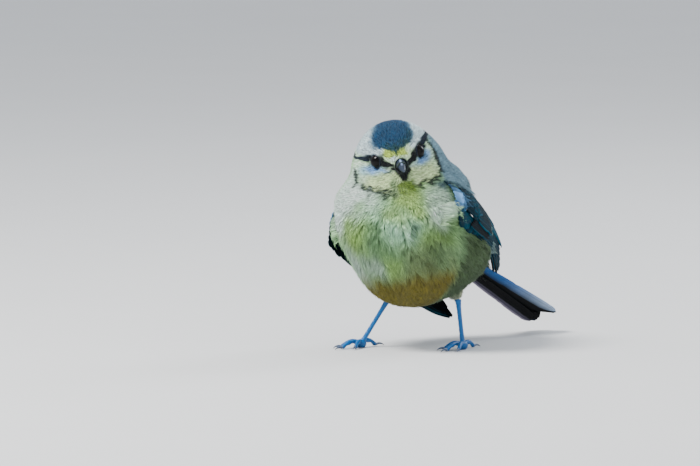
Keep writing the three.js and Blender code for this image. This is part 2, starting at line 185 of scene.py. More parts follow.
class TitSizes(bpy.types.PropertyGroup):
    body_coat: length_value("Body coat", "Depth of the feathers over the skin of the body", 1.9)
    head_coat: length_value("Head coat", "Depth of the feathers over the skin of the head", 0.9)
    skin_step: length_value("Skin step", "Size of the skin's faces", 0.5)
    breast_feather: length_value("Breast feather", "Length of a feather that shows on the breast", 6.2)
    head_feather: length_value("Head feather", "Length of a feather on the crown", 2.1)
    face_feather: length_value("Face feather", "Length of a feather beside the bill", 1.3)
    barb_width: length_value("Barb width", "Width of a strand of barbs on the body", 0.15)
    eye_radius: length_value("Eye radius", "Radius of the eyeball", 2.5)
    wing_length: length_value("Wing length", "Bend of the wing to its tip", 62)
    vane_thickness: length_value("Vane thickness", "Thickness of a flight feather", 0.3)
    tail_length: length_value("Tail length", "Length of the longest tail feather", 50)
    seed: IntProperty(name="Seed", description="Start of every random draw", default=7, min=0)


class TitColours(bpy.types.PropertyGroup):
    crown: colour_value("Crown", "Blue cap", "0f4268")
    crown_front: colour_value("Crown front", "Dark greenish front edge of the cap", "1d423c")
    crown_rim: colour_value("Crown rim", "Greyer outer edge of the cap", "5f86a0")
    forehead: colour_value("Forehead", "Yellow patches above the bill", "b4cc5a")
    brow: colour_value("Brow", "Pale band round the cap", "cfe4ea")
    stripe: colour_value("Eye stripe", "Dark line through the eye", "04070f")
    stripe_rear: colour_value("Eye stripe rear", "Blue end of the line behind the eye", "061a30")
    lores: colour_value("Under eye", "Cool pale patch under and behind the eye", "7fb2f2")
    bib: colour_value("Bib", "Black chin", "0a0c12")
    cheek: colour_value("Cheek", "Pale greenish yellow cheek", "dcf6b8")
    cheek_white: colour_value("Cheek white", "Whiter rear of the cheek", "daffde")
    collar: colour_value("Collar", "Dark line behind and under the cheek", "0a161c")
    neck_white: colour_value("Neck white", "White side of the neck", "e8fff2")
    throat: colour_value("Throat", "Olive yellow under the chin", "71911c")
    khaki: colour_value("Khaki", "Yellowish middle of the upper breast", "bce07c")
    breast: colour_value("Breast", "Pale green breast", "a6d89a")
    breast_side: colour_value("Breast side", "Yellow-green sides of the breast", "98bf58")
    breast_cool: colour_value("Breast centre", "Cool grey-green patch on the breast", "b6ecc8")
    breast_dark: colour_value("Breast shade", "Darker grey-green of parted breast feathers", "4c7048")
    belly_side: colour_value("Belly side", "Grey-olive lower breast", "5c5c30")
    streak_grey: colour_value("Grey streaks", "Pale grey edges low on the breast", "bccfc4")
    # Painted shade: this blue-grey darkens the shoulder high before the wing, where shade falls; it also
    # marks a small blue-grey spot on the breast.
    blue_grey_and_shade: colour_value("Shoulder", "Blue-grey feathers before the wing", "26445a")
    # Painted shade: the belly's olive is partly its own colour and partly darkened for the shade under the
    # body.
    belly: colour_value("Belly", "Olive belly", "746404")
    flank: colour_value("Flank", "Grey-green flank", "3c4a2c")
    mantle: colour_value("Mantle", "Back between the wings", "7598a8")
    rump: colour_value("Rump", "Lower back", "6f8068")
    vent: colour_value("Vent", "Pale feathers under the tail", "dfe3c4")
    down: colour_value("Down", "Grey roots of the feathers", "5b6660")
    wing_dark: colour_value("Wing", "Dark webs of the wing feathers", "010204")
    wing_blue: colour_value("Wing edge", "Blue-green edges of the wing feathers", "0c586e")
    covert_blue: colour_value("Coverts", "Blue of the small feathers at the bend of the wing", "7ab2ea")
    wing_white: colour_value("Wing bar", "White tips of the coverts and tertials", "eef3f2")
    tail_dark: colour_value("Tail", "Dark webs of the tail feathers", "020407")
    tail_blue: colour_value("Tail edge", "Blue edges of the tail feathers", "2f6ab0")
    leg: colour_value("Leg", "Blue plates of legs and toes", "1062a6")
    claw: colour_value("Claw", "Dark horn of the claws", "23262f")
    bill: colour_value("Bill", "Dark horn of the bill", "05070b")
    # Painted highlight: this pale blue-grey along the top of the bill's ridge stands for light falling on it;
    # the claws take it for their paler roots and for a painted highlight on their tops.
    horn_pale_and_highlight: colour_value("Bill ridge", "Paler ridge of the bill", "8299bd")
    iris: colour_value("Iris", "Dark brown iris", "040202")
    floor: colour_value("Floor", "Plain pale floor", "d9dadb")


def sizes():
    return bpy.context.scene.tit_sizes


def colour(name):
    return np.array(getattr(bpy.context.scene.tit_colours, name))


def mm(name):
    return getattr(sizes(), name) / MM


# Objects


def alone(obj):
    """Only this object is selected and active."""
    if bpy.context.object and bpy.context.object.mode != "OBJECT":
        bpy.ops.object.mode_set(mode="OBJECT")
    bpy.ops.object.select_all(action="DESELECT")
    obj.select_set(True)
    bpy.context.view_layer.objects.active = obj
    return obj


def finished_by(obj, kind, **settings):
    """A modifier with these settings, added and applied."""
    alone(obj)
    modifier = obj.modifiers.new(kind.title(), kind)
    for key, value in settings.items():
        setattr(modifier, key, value)
    bpy.ops.object.modifier_apply(modifier=modifier.name)
    return obj


def from_primitive(operator, name, **settings):
    """A new primitive under a name of its own."""
    if bpy.context.object and bpy.context.object.mode != "OBJECT":
        bpy.ops.object.mode_set(mode="OBJECT")
    bpy.ops.object.select_all(action="DESELECT")
    operator(**settings)
    obj = bpy.context.object
    obj.name = obj.data.name = name
    return obj


def merged_copy(node, name):
    """A copy of a CAD node with its own mesh and its doubles merged."""
    obj = bpy.data.objects.new(name, frame["nodes"][node].data.copy())
    obj.data.materials.clear()
    bpy.context.scene.collection.objects.link(obj)
    alone(obj)
    bpy.ops.object.mode_set(mode="EDIT")
    bpy.ops.mesh.select_all(action="SELECT")
    bpy.ops.mesh.remove_doubles(threshold=1e-6)
    bpy.ops.object.mode_set(mode="OBJECT")
    return obj


def joined(objects, name):
    bpy.ops.object.select_all(action="DESELECT")
    for obj in objects:
        obj.select_set(True)
    bpy.context.view_layer.objects.active = objects[0]
    bpy.ops.object.join()
    objects[0].name = objects[0].data.name = name
    return objects[0]


def points_of(obj):
    """The vertices of a mesh, in millimetres."""
    flat = np.empty(len(obj.data.vertices) * 3)
    obj.data.vertices.foreach_get("co", flat)
    return flat.reshape(-1, 3) / MM


def normals_of(obj):
    flat = np.empty(len(obj.data.vertices) * 3, np.float32)
    obj.data.vertices.foreach_get("normal", flat)
    return flat.reshape(-1, 3).astype(float)


def move_points(obj, points):
    obj.data.vertices.foreach_set("co", (np.asarray(points) * MM).ravel())
    obj.data.update()


def give_colours(mesh, colours, name="markings"):
    """One colour for each vertex, which the materials read."""
    layer = mesh.color_attributes.new(name=name, type="FLOAT_COLOR", domain="POINT")
    full = np.ones((len(colours), 4), np.float32)
    full[:, :3] = np.clip(colours, 0, 1)
    layer.data.foreach_set("color", full.ravel())


def object_from(name, points, triangles, colours=None, corners=None, map_name="OFBake"):
    """A mesh object from arrays: points in millimetres, triangles, a colour a point, a map place a corner."""
    mesh = bpy.data.meshes.new(name)
    mesh.vertices.add(len(points))
    mesh.vertices.foreach_set("co", (points * MM).astype(np.float32).ravel())
    mesh.loops.add(len(triangles) * 3)
    mesh.loops.foreach_set("vertex_index", triangles.astype(np.int32).ravel())
    mesh.polygons.add(len(triangles))
    mesh.polygons.foreach_set("loop_start", np.arange(0, len(triangles) * 3, 3, dtype=np.int32))
    mesh.polygons.foreach_set("use_smooth", np.ones(len(triangles), bool))
    mesh.update(calc_edges=True)
    if colours is not None:
        give_colours(mesh, colours)
    if corners is not None:
        layer = mesh.uv_layers.new(name=map_name)
        layer.data.foreach_set("uv", corners.astype(np.float32).ravel())
    obj = bpy.data.objects.new(name, mesh)
    bpy.context.scene.collection.objects.link(obj)
    return obj


def stand_for(obj, slot, material, *nodes):
    """The piece rides on the body, takes its material, and replaces the CAD nodes it stands for."""
    obj.data.materials.clear()
    obj.data.materials.append(material)
    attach(obj, "root")
    if nodes:
        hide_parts(*nodes)
    return obj


# Markings


def mixed(colours, other, share):
    return colours + (other - colours) * np.asarray(share)[:, None]


def line_distance(lon, lat, line):
    """How far each place is from a line drawn through places on the globe, in degrees."""
    nearest = np.full(len(lon), 1e9)
    for (lon_a, lat_a), (lon_b, lat_b) in zip(line, line[1:]):
        run = np.array([lon_b - lon_a, lat_b - lat_a], float)
        share = ((lon - lon_a) * run[0] + (lat - lat_a) * run[1]) / (run @ run)
        share = np.clip(share, 0, 1)
        away = np.hypot(lon - lon_a - share * run[0], lat - lat_a - share * run[1])
        nearest = np.minimum(nearest, away)
    return nearest


# Lines on the head, for the left side and the right, as longitudes from the bill and latitudes.
# The collar goes from under the chin round the cheek and up behind it.
COLLAR = {
    1: [(12, -26.5), (20, -27.5), (31, -27.2), (42, -27.4), (56, -26.9), (65, -23.3), (71, -14.6), (74, -5.6),
        (77.5, 4.5), (80, 17.6)],
    -1: [(14, -28), (24, -27), (34.5, -25.9), (48.6, -24.3), (64, -21.9), (76, -18.5), (80, -16), (85, -10),
         (89.5, -6), (98, 2), (108, 11)],
}
CAP_EDGE = (
    [-180, -150, -120, -104, -89, -80, -68, -52, -31, -18, -7, 3,
     12, 22, 34, 49, 64, 75, 84, 100, 120, 150, 180],
    [48, 54, 60, 61, 56, 50.5, 42, 35, 31, 26.7, 21.1, 22, 25.5, 27.3, 30, 35, 41, 47, 52, 52, 51, 50, 48],
)
STRIPE_LINE = {
    1: ([8, 15, 21, 25, 31, 43, 53, 60, 67, 73, 90, 110, 140, 180],
        [-2, -0.3, 3.6, 5.8, 9.7, 12, 14, 16, 18.2, 22, 23, 20, 15, 13]),
    -1: ([8, 10, 17, 24, 31, 41, 63, 74, 81, 90, 110, 140, 180],
         [0, 0.5, 3.1, 4.5, 9, 10, 13.4, 13.9, 12.8, 10.5, 11, 12, 13]),
}
STRIPE_HALF = {
    1: ([8, 15, 21, 25, 31, 43, 53, 60, 67, 73, 90, 180],
        [3.5, 4.6, 5.6, 6.8, 8.4, 11, 10.5, 9.5, 8, 6, 4, 6]),
    -1: ([8, 10, 17, 24, 31, 41, 55, 63, 74, 81, 90, 100, 180],
         [2.5, 3, 4.8, 6.2, 9, 9.5, 8, 6.4, 5.2, 4, 2.2, 3, 6]),
}
# Patches of the body's plumage: colour, longitude, latitude, half sizes and strength.
BODY_PATCHES = [
    ("belly_side", 42, -24, 26, 17, 0.75),
    ("breast_side", -28, 7, 17, 13, 0.85),
    ("breast_side", -24, -5, 11, 9, 0.7),
    ("breast_side", 54, -5, 14, 8, 0.9),
    ("breast_side", 14, 17, 5, 7, 0.55),
    ("breast_side", 40, 8, 6, 9, 0.45),
    ("breast_side", 5, -24, 11, 11, 0.7),
    ("breast_dark", 0, 0, 8, 12, 0.7),
    ("breast_dark", 12, -14, 9, 9, 0.35),
    ("breast_dark", 50, -22, 10, 9, 0.4),
    ("breast_cool", 4, 22, 12, 10, 0.5),
    ("breast_cool", 22, 5, 13, 11, 0.95),
    ("blue_grey_and_shade", 31, 2, 3.5, 4.5, 0.75),
    ("breast_dark", 57, -2, 13, 9, 0.6),
    ("breast_dark", -10, -16, 9, 9, 0.55),
    ("khaki", 28, 33, 16, 13, 0.95),
    ("khaki", 27, 20, 12, 11, 0.6),
    ("neck_white", -24, 38, 30, 15, 1),
    ("neck_white", -44, 24, 17, 15, 0.95),
    ("neck_white", 58, 24, 12, 14, 0.6),
    ("neck_white", 50, 11, 9, 8, 0.5),
    ("streak_grey", -13, -22, 9, 10, 0.6),
    ("streak_grey", -37, -22, 13, 17, 0.85),
]


def body_markings(points):
    """The colour of the plumage on the body and neck."""
    lon, lat = globe(BODY, points)
    lon, lat = lon + ripple(points, 9, 11) * 3, lat + ripple(points, 8, 12) * 3
    side = np.abs(lon)
    made = np.tile(colour("breast"), (len(points), 1))
    for name, at_lon, at_lat, half_lon, half_lat, strength in BODY_PATCHES:
        reach = ((lon - at_lon) / half_lon) ** 2 + ((lat - at_lat) / half_lat) ** 2
        made = mixed(made, colour(name), np.exp(-(reach**1.4) * 0.7) * strength)
    # The belly's olive, darkened partly as painted shade under the body.
    made = mixed(made, colour("belly"), soft(-lat, 25, 45) * soft(88 - side, 0, 25) * 0.95)
    flank = soft(side, 66, 82) * soft(-lat, 0, 14)
    made = mixed(made, colour("flank"), flank * 0.9)
    made = mixed(made, colour("vent"), soft(side, 122, 142) * soft(-lat, 40, 54))
    back = soft(side, 80, 94) * soft(lat, -4, 8) + soft(side, 126, 142) * soft(lat, -38, -24)
    back = np.clip(back + soft(side, 64, 74) * soft(lat, 30, 40), 0, 1)
    local = seen_from(BODY, points)
    mantle = mixed(np.tile(colour("mantle"), (len(points), 1)), colour("rump"), soft(local[:, 1], 14, 30))
    made = made + (mantle - made) * back[:, None]
    # Painted shade: a blue-grey patch high on the shoulder before the wing.
    reach = ((lon - 65) / 8) ** 2 + ((lat - 35) / 7) ** 2
    return mixed(made, colour("blue_grey_and_shade"), np.exp(-(reach**1.4) * 0.7) * 0.9)


def head_markings(points, around):
    """The colour of the plumage on the head, inside the collar. around is the body's colour there."""
    lon, lat = globe(HEAD, points)
    lon, lat = lon + ripple(points, 3, 21) * 1.1, lat + ripple(points, 2.6, 22) * 0.9
    side = np.abs(lon)
    left = lon > 0

    def by_side(table, at):
        return np.where(left, np.interp(at, *table[1]), np.interp(at, *table[-1]))

    def patch(at_lon, at_lat, half_lon, half_lat, where=lon):
        return np.exp(-((((where - at_lon) / half_lon) ** 2 + ((lat - at_lat) / half_lat) ** 2) ** 1.5))

    made = np.tile(colour("cheek"), (len(points), 1))
    made = mixed(made, colour("cheek_white"), np.maximum(soft(side, 50, 78) * 0.85, soft(lat, -14, -4) * 0.5))
    made = mixed(made, colour("brow"), soft(lat, 14, 20) * soft(side, 26, 34))
    edge = np.interp(lon, *CAP_EDGE) - 1.2 * soft(side, 30, 50) + 1.4 * ripple(points, 0.8, 26)
    yellow = soft(lat, 12, 15) * soft(np.where(left, 20, 29) - side, 0, 5)
    made = mixed(made, colour("forehead"), yellow)
    made = mixed(made, colour("crown_front"), patch(-3, 19, 2.6, 5) * 0.9)
    cap = soft(lat - edge, -2.0, 2.6)
    front = np.clip(0.8 + 0.35 * ripple(points, 2.2, 24), 0, 1)
    front = front * soft(edge + 26 - lat, 0, 18) * soft(lon, -46, -10) * soft(80 - lon, 0, 20)
    cap_colour = mixed(np.tile(colour("crown"), (len(points), 1)), colour("crown_front"), front * 0.85)
    rim = soft(edge + 9 - lat, 0, 7) * soft(side, 40, 60)
    cap_colour = mixed(cap_colour, colour("crown_rim"), rim * 0.8)
    made = made + (cap_colour - made) * cap[:, None]
    flecks = ripple(points, 1.3, 25)
    fuzzy = soft(lat - edge, -9, -1) * np.clip(0.75 + 0.5 * flecks, 0, 1)
    fleck = np.maximum(soft(flecks, 0.3, 1.3) * soft(lat - edge, -22, -8), fuzzy)
    made = mixed(made, colour("crown_rim"), fleck * (1 - cap) * soft(-lon, 40, 56) * 0.85)

    made = mixed(made, colour("lores"), patch(44, -4.5, 20, 7.5) * 0.95)
    made = mixed(made, colour("lores"), patch(62, 2, 7, 7) * 0.8)
    made = mixed(made, colour("lores"), patch(-52, -4, 25, 8) * 0.95)
    made = mixed(made, colour("lores"), patch(-28, -6.5, 8, 3.5) * 0.7)
    made = mixed(made, colour("brow"), patch(-25, -5, 4, 2) * 0.7)
    made = mixed(made, colour("brow"), patch(17, -6.5, 4, 2) * 0.7)
    made = mixed(made, colour("brow"), patch(-8, 11, 5, 4) * 0.9)
    off_line = np.abs(lat - by_side(STRIPE_LINE, side)) / by_side(STRIPE_HALF, side)
    stripe = soft(1.25 - off_line, 0, 0.5) * soft(side, 6, 9)
    rear = soft(side, 50, 70)
    stripe_colour = mixed(np.tile(colour("stripe"), (len(points), 1)), colour("stripe_rear"), rear * 0.9)
    made = made + (stripe_colour - made) * stripe[:, None]
    made = mixed(made, colour("stripe"), patch(-28, 20, 3, 4) * 0.8)
    off_bill = seen_from(HEAD, points) - BILL_ROOT
    ring = soft(3.0 - np.hypot(off_bill[:, 0] - 0.3, off_bill[:, 2]), 0, 0.9) * soft(-off_bill[:, 1], -1, 0.5)
    made = mixed(made, colour("stripe_rear") * 0.8, ring * 0.95)
    made = mixed(made, colour("brow"), patch(-12, 10, 2, 2.5) * 0.7)

    gape = line_distance(lon, lat, [(-30, -12), (-16, -6.5)])
    made = mixed(made, colour("stripe"), soft(1.7 - gape, 0, 1.2) * 0.8)
    middle = np.interp(lat, [-22, -12, -4], [0.5, 2.5, -1.5])
    half = np.interp(lat, [-24, -21, -17, -12, -5, 0], [2, 4.5, 8, 11.5, 15.5, 16])
    bib = soft(half - np.abs(lon - middle), -1.2, 1.5) * soft(-lat, 1, 3.5) * soft(24 + lat, 0, 3)
    made = mixed(made, colour("bib"), bib)

    nearest, below = np.full(len(points), 1e9), np.zeros(len(points))
    for sign, line in COLLAR.items():
        mine = (lon * sign) > 0
        nearest = np.where(mine, line_distance(side, lat, line), nearest)
        below = np.where(mine, np.interp(side, *zip(*line)) - lat, below)
    behind = soft(side - np.where(left, 76, 91), 0, 6) * soft(by_side(STRIPE_LINE, side) - 4 - lat, -2, 4)
    outside = np.clip(soft(below, -0.8, 1.2) * soft(104 - side, 0, 14) + behind, 0, 1)
    made = made + (around - made) * outside[:, None]
    chin = soft(15 - np.abs(lon - 1), 0, 6) * soft(-lat, 21, 24) * soft(31 + lat, 0, 4)
    made = mixed(made, colour("throat"), chin * 0.9)
    made = mixed(made, colour("breast_dark"), patch(-16, -23, 5, 7) * 0.75)
    upright = np.where(left, soft(side, 62, 68), soft(side, 76, 80) * soft(92 - side, 0, 3))
    width = 1.0 + 0.4 * ripple(points, 4, 23) + 2.5 * upright
    collar = soft(width + 0.7 - nearest, 0, 1.0) * soft(side, 8, 20)
    worn = 0.6 * soft(side, 66, 70) * soft(77 - side, 0, 2) + 0.4 * soft(side, 93, 98)
    collar = collar * np.where(left, 1, 1 - worn)
    made = mixed(made, colour("collar"), collar * 0.95)
    nape = soft(side, 128, 150) * soft(lat, -16, -6) * soft(22 - lat, 0, 6)
    return mixed(made, colour("collar"), nape * 0.8)


def plumage(points):
    """The colour of the plumage at each point, the same for skin and feathers."""
    body = body_markings(points)
    height = seen_from(NECK, points)[:, 2]
    on_head = soft(height, -3.5, 0.5)
    near = on_head > 0
    made = body.copy()
    head = head_markings(points[near], body[near])
    made[near] += (head - body[near]) * on_head[near][:, None]
    return made


# Materials


def node_group(name, inputs, outputs):
    """An empty shader group with its named sockets, and its two end nodes."""
    group = bpy.data.node_groups.new(name, "ShaderNodeTree")
    for label, kind, default in inputs:
        socket = group.interface.new_socket(name=label, in_out="INPUT", socket_type=kind)
        if default is not None:
            socket.default_value = default
    for label, kind in outputs:
        group.interface.new_socket(name=label, in_out="OUTPUT", socket_type=kind)
    return group, group.nodes.new("NodeGroupInput"), group.nodes.new("NodeGroupOutput")


def add(tree, kind, place=(0, 0), **settings):
    node = tree.nodes.new(kind)
    node.location = place
    for key, value in settings.items():
        setattr(node, key, value)
    return node


def maths(tree, operation, first, second, place=(0, 0)):
    """A Math node whose inputs are sockets or numbers; its output socket."""
    node = add(tree, "ShaderNodeMath", place, operation=operation)
    for socket, value in zip(node.inputs, (first, second)):
        if isinstance(value, bpy.types.NodeSocket):
            tree.links.new(value, socket)
        elif value is not None:
            socket.default_value = value
    return node.outputs[0]


def mottle_group():
    """Wandering light and dark, and a small wander of hue, over a colour."""
    group, start, end = node_group(
        "Mottle",
        [
            ("Colour", "NodeSocketColor", (0.8, 0.8, 0.8, 1)),
            ("Other Colour", "NodeSocketColor", (0.5, 0.5, 0.5, 1)),
            ("Scale", "NodeSocketFloat", 300.0),
            ("Amount", "NodeSocketFloat", 0.3),
            ("Other Amount", "NodeSocketFloat", 0.2),
        ],
        [("Colour", "NodeSocketColor"), ("Mask", "NodeSocketFloat")],
    )
    coords = add(group, "ShaderNodeTexCoord", (-900, 0))
    noise = add(group, "ShaderNodeTexNoise", (-700, 100))
    noise.inputs["Detail"].default_value = 4
    group.links.new(coords.outputs["Object"], noise.inputs["Vector"])
    group.links.new(start.outputs["Scale"], noise.inputs["Scale"])
    fine = add(group, "ShaderNodeTexNoise", (-700, -200))
    fine.inputs["Detail"].default_value = 2
    group.links.new(coords.outputs["Object"], fine.inputs["Vector"])
    group.links.new(maths(group, "MULTIPLY", start.outputs["Scale"], 3.7, (-900, -200)), fine.inputs["Scale"])
    blend = add(group, "ShaderNodeMix", (-300, 0), data_type="RGBA")
    share = maths(group, "MULTIPLY", fine.outputs["Fac"], start.outputs["Other Amount"], (-500, -200))
    group.links.new(share, blend.inputs["Factor"])
    group.links.new(start.outputs["Colour"], blend.inputs["A"])
    group.links.new(start.outputs["Other Colour"], blend.inputs["B"])
    centred = maths(group, "SUBTRACT", noise.outputs["Fac"], 0.5, (-500, 100))
    spread = maths(group, "MULTIPLY", centred, start.outputs["Amount"], (-300, 200))
    value = maths(group, "ADD", maths(group, "MULTIPLY", spread, 2.0, (-200, 300)), 1.0, (-100, 300))
    shade = add(group, "ShaderNodeHueSaturation", (0, 0))
    group.links.new(value, shade.inputs["Value"])
    group.links.new(blend.outputs["Result"], shade.inputs["Color"])
    group.links.new(shade.outputs["Color"], end.inputs["Colour"])
    group.links.new(noise.outputs["Fac"], end.inputs["Mask"])
    return group


def barbs_group():
    """The fine slanting barbs of a vane, from its own map: along the feather and across it."""
    group, start, end = node_group(
        "Barbs",
        [
            ("Barbs", "NodeSocketFloat", 260.0),
            ("Slant", "NodeSocketFloat", 1.1),
            ("Wander", "NodeSocketFloat", 0.6),
        ],
        [("Height", "NodeSocketFloat"), ("Streaks", "NodeSocketFloat")],
    )
    uv = add(group, "ShaderNodeUVMap", (-1100, 0), uv_map="vane")
    split = add(group, "ShaderNodeSeparateXYZ", (-900, 0))
    group.links.new(uv.outputs["UV"], split.inputs[0])
    aside = maths(group, "ABSOLUTE", split.outputs["Y"], None, (-700, -100))
    slanted = maths(
        group, "SUBTRACT", split.outputs["X"],
        maths(group, "MULTIPLY", aside, start.outputs["Slant"], (-500, -100)), (-300, 0),
    )
    noise = add(group, "ShaderNodeTexNoise", (-700, -350))
    noise.inputs["Scale"].default_value = 9
    noise.inputs["Detail"].default_value = 3
    group.links.new(uv.outputs["UV"], noise.inputs["Vector"])
    shift = maths(group, "MULTIPLY", noise.outputs["Fac"], start.outputs["Wander"], (-500, -350))
    phase = maths(group, "MULTIPLY", slanted, start.outputs["Barbs"], (-100, 0))
    shifted = maths(group, "ADD", phase, maths(group, "MULTIPLY", shift, 12.0))
    wave = maths(group, "SINE", shifted, None, (100, 0))
    height = maths(group, "MULTIPLY", maths(group, "ADD", wave, 1.0), 0.5, (300, 0))
    group.links.new(height, end.inputs["Height"])
    streak = add(group, "ShaderNodeTexNoise", (100, -300), noise_dimensions="1D")
    streak.inputs["Detail"].default_value = 2
    streak.inputs["Scale"].default_value = 1.0
    group.links.new(maths(group, "MULTIPLY", phase, 0.11, (-100, -300)), streak.inputs["W"])
    group.links.new(streak.outputs["Fac"], end.inputs["Streaks"])
    return group


def grain_group():
    """A fine pitted grain for horn and scaly skin."""
    group, start, end = node_group(
        "Grain",
        [("Scale", "NodeSocketFloat", 900.0), ("Stretch", "NodeSocketVector", (1, 1, 1))],
        [("Height", "NodeSocketFloat"), ("Mask", "NodeSocketFloat")],
    )
    coords = add(group, "ShaderNodeTexCoord", (-700, 0))
    stretch = add(group, "ShaderNodeVectorMath", (-500, 0), operation="MULTIPLY")
    group.links.new(coords.outputs["Object"], stretch.inputs[0])
    group.links.new(start.outputs["Stretch"], stretch.inputs[1])
    noise = add(group, "ShaderNodeTexNoise", (-300, 0))
    noise.inputs["Detail"].default_value = 5
    cells = add(group, "ShaderNodeTexVoronoi", (-300, -300), feature="DISTANCE_TO_EDGE")
    for node in (noise, cells):
        group.links.new(stretch.outputs[0], node.inputs["Vector"])
        group.links.new(start.outputs["Scale"], node.inputs["Scale"])
    group.links.new(noise.outputs["Fac"], end.inputs["Mask"])
    rise = maths(group, "MULTIPLY", cells.outputs["Distance"], 1.5, (0, -200))
    group.links.new(maths(group, "ADD", noise.outputs["Fac"], rise, (100, 0)), end.inputs["Height"])
    return group


def group_named(name, make):
    """A shader group, built the first time it is asked for."""
    return bpy.data.node_groups.get(name) or make()


def placed_group(tree, name, make, place, **values):
    node = add(tree, "ShaderNodeGroup", place)
    node.node_tree = group_named(name, make)
    for key, value in values.items():
        node.inputs[key].default_value = value
    return node


def shader(name, **settings):
    """A new material, its tree and its Principled shader with constants on its own sockets."""
    material = bpy.data.materials.new(name)
    material.use_nodes = True
    tree = material.node_tree
    principled = tree.nodes["Principled BSDF"]
    for key, value in settings.items():
        principled.inputs[key].default_value = value
    return material, tree, principled


def bumped(tree, principled, height, strength, distance, place=(-200, -400)):
    bump = add(tree, "ShaderNodeBump", place)
    bump.inputs["Strength"].default_value = strength
    bump.inputs["Distance"].default_value = distance
    tree.links.new(height, bump.inputs["Height"])
    tree.links.new(bump.outputs["Normal"], principled.inputs["Normal"])


def plume_material(name, mottle=0.22, roughness=0.72):
    """Soft plumage: the markings, mottled, with the matt sheen of loose barbs."""
    found = bpy.data.materials.get(name)
    if found:
        return found
    finish = {"Roughness": roughness, "Specular IOR Level": 0.1, "Sheen Weight": 0.04, "Sheen Roughness": 0.5}
    material, tree, principled = shader(name, **finish)
    marks = add(tree, "ShaderNodeAttribute", (-900, 100), attribute_name="markings")
    mottled = placed_group(
        tree, "Mottle", mottle_group, (-600, 100), **{"Scale": 420.0, "Amount": mottle, "Other Amount": 0.16}
    )
    mottled.inputs["Other Colour"].default_value = (*colour("down"), 1)
    tree.links.new(marks.outputs["Color"], mottled.inputs["Colour"])
    tree.links.new(mottled.outputs["Colour"], principled.inputs["Base Color"])
    grain = placed_group(tree, "Grain", grain_group, (-600, -300), Scale=2600.0)
    bumped(tree, principled, grain.outputs["Height"], 0.25, 0.00004)
    return material


def vane_material(name, roughness=0.5):
    """Stiff vanes of the wing and tail: the markings, streaked by their barbs, with a soft gloss."""
    found = bpy.data.materials.get(name)
    if found:
        return found
    material, tree, principled = shader(name, **{"Specular IOR Level": 0.03})
    marks = add(tree, "ShaderNodeAttribute", (-1100, 200), attribute_name="markings")
    barbs = placed_group(tree, "Barbs", barbs_group, (-900, -100))
    mottled = placed_group(
        tree, "Mottle", mottle_group, (-800, 200), **{"Scale": 300.0, "Amount": 0.25, "Other Amount": 0.1}
    )
    mottled.inputs["Other Colour"].default_value = (*colour("wing_dark"), 1)
    tree.links.new(marks.outputs["Color"], mottled.inputs["Colour"])
    shade = add(tree, "ShaderNodeHueSaturation", (-400, 200))
    streaks = maths(tree, "MULTIPLY", barbs.outputs["Streaks"], 0.7, (-600, 0))
    tree.links.new(maths(tree, "ADD", streaks, 0.65, (-500, 0)), shade.inputs["Value"])
    tree.links.new(mottled.outputs["Colour"], shade.inputs["Color"])
    tree.links.new(shade.outputs["Color"], principled.inputs["Base Color"])
    uneven = maths(tree, "MULTIPLY", barbs.outputs["Streaks"], 0.25, (-600, -200))
    tree.links.new(maths(tree, "ADD", uneven, roughness - 0.1), principled.inputs["Roughness"])
    bumped(tree, principled, barbs.outputs["Height"], 0.5, 0.00006)
    return material


def scale_material(name):
    """Horny plates of the legs: the markings with a fine grain and a wet-looking gloss."""
    found = bpy.data.materials.get(name)
    if found:
        return found
    material, tree, principled = shader(
        name, **{"Roughness": 0.4, "Coat Weight": 0.08, "Coat Roughness": 0.25, "Specular IOR Level": 0.3}
    )
    marks = add(tree, "ShaderNodeAttribute", (-900, 100), attribute_name="markings")
    mottled = placed_group(
        tree, "Mottle", mottle_group, (-600, 100), **{"Scale": 900.0, "Amount": 0.3, "Other Amount": 0.25}
    )
    mottled.inputs["Other Colour"].default_value = (*(colour("leg") * 0.35), 1)
    tree.links.new(marks.outputs["Color"], mottled.inputs["Colour"])
    tree.links.new(mottled.outputs["Colour"], principled.inputs["Base Color"])
    grain = placed_group(tree, "Grain", grain_group, (-600, -300), Scale=3200.0)
    bumped(tree, principled, grain.outputs["Height"], 0.3, 0.00003)
    return material


def horn_material(name, main, edge, roughness=0.34):
    """Dark horn with a paler colour mixed in by the share painted on its vertices (a painted highlight on the
    bill's ridge and the claws' tops), a little of it mottled over all, and long fine grain.
    """
    found = bpy.data.materials.get(name)
    if found:
        return found
    material, tree, principled = shader(
        name, **{"Coat Weight": 0.03, "Coat Roughness": 0.2, "Specular IOR Level": 0.12}
    )
    marks = add(tree, "ShaderNodeAttribute", (-1100, 200), attribute_name="ridge")
    blend = add(tree, "ShaderNodeMix", (-900, 200), data_type="RGBA")
    blend.inputs["A"].default_value = (*main, 1)
    blend.inputs["B"].default_value = (*edge, 1)
    tree.links.new(marks.outputs["Fac"], blend.inputs["Factor"])
    mottled = placed_group(
        tree, "Mottle", mottle_group, (-600, 200), **{"Scale": 1100.0, "Amount": 0.3, "Other Amount": 0.2}
    )
    mottled.inputs["Other Colour"].default_value = (*edge, 1)
    tree.links.new(blend.outputs["Result"], mottled.inputs["Colour"])
    tree.links.new(mottled.outputs["Colour"], principled.inputs["Base Color"])
    grain = placed_group(tree, "Grain", grain_group, (-600, -300), Scale=2400.0)
    grain.inputs["Stretch"].default_value = (1, 0.35, 1)
    uneven = maths(tree, "MULTIPLY", grain.outputs["Mask"], 0.25)
    tree.links.new(maths(tree, "ADD", uneven, roughness - 0.12, (-400, -200)), principled.inputs["Roughness"])
    bumped(tree, principled, grain.outputs["Height"], 0.25, 0.00003)
    return material


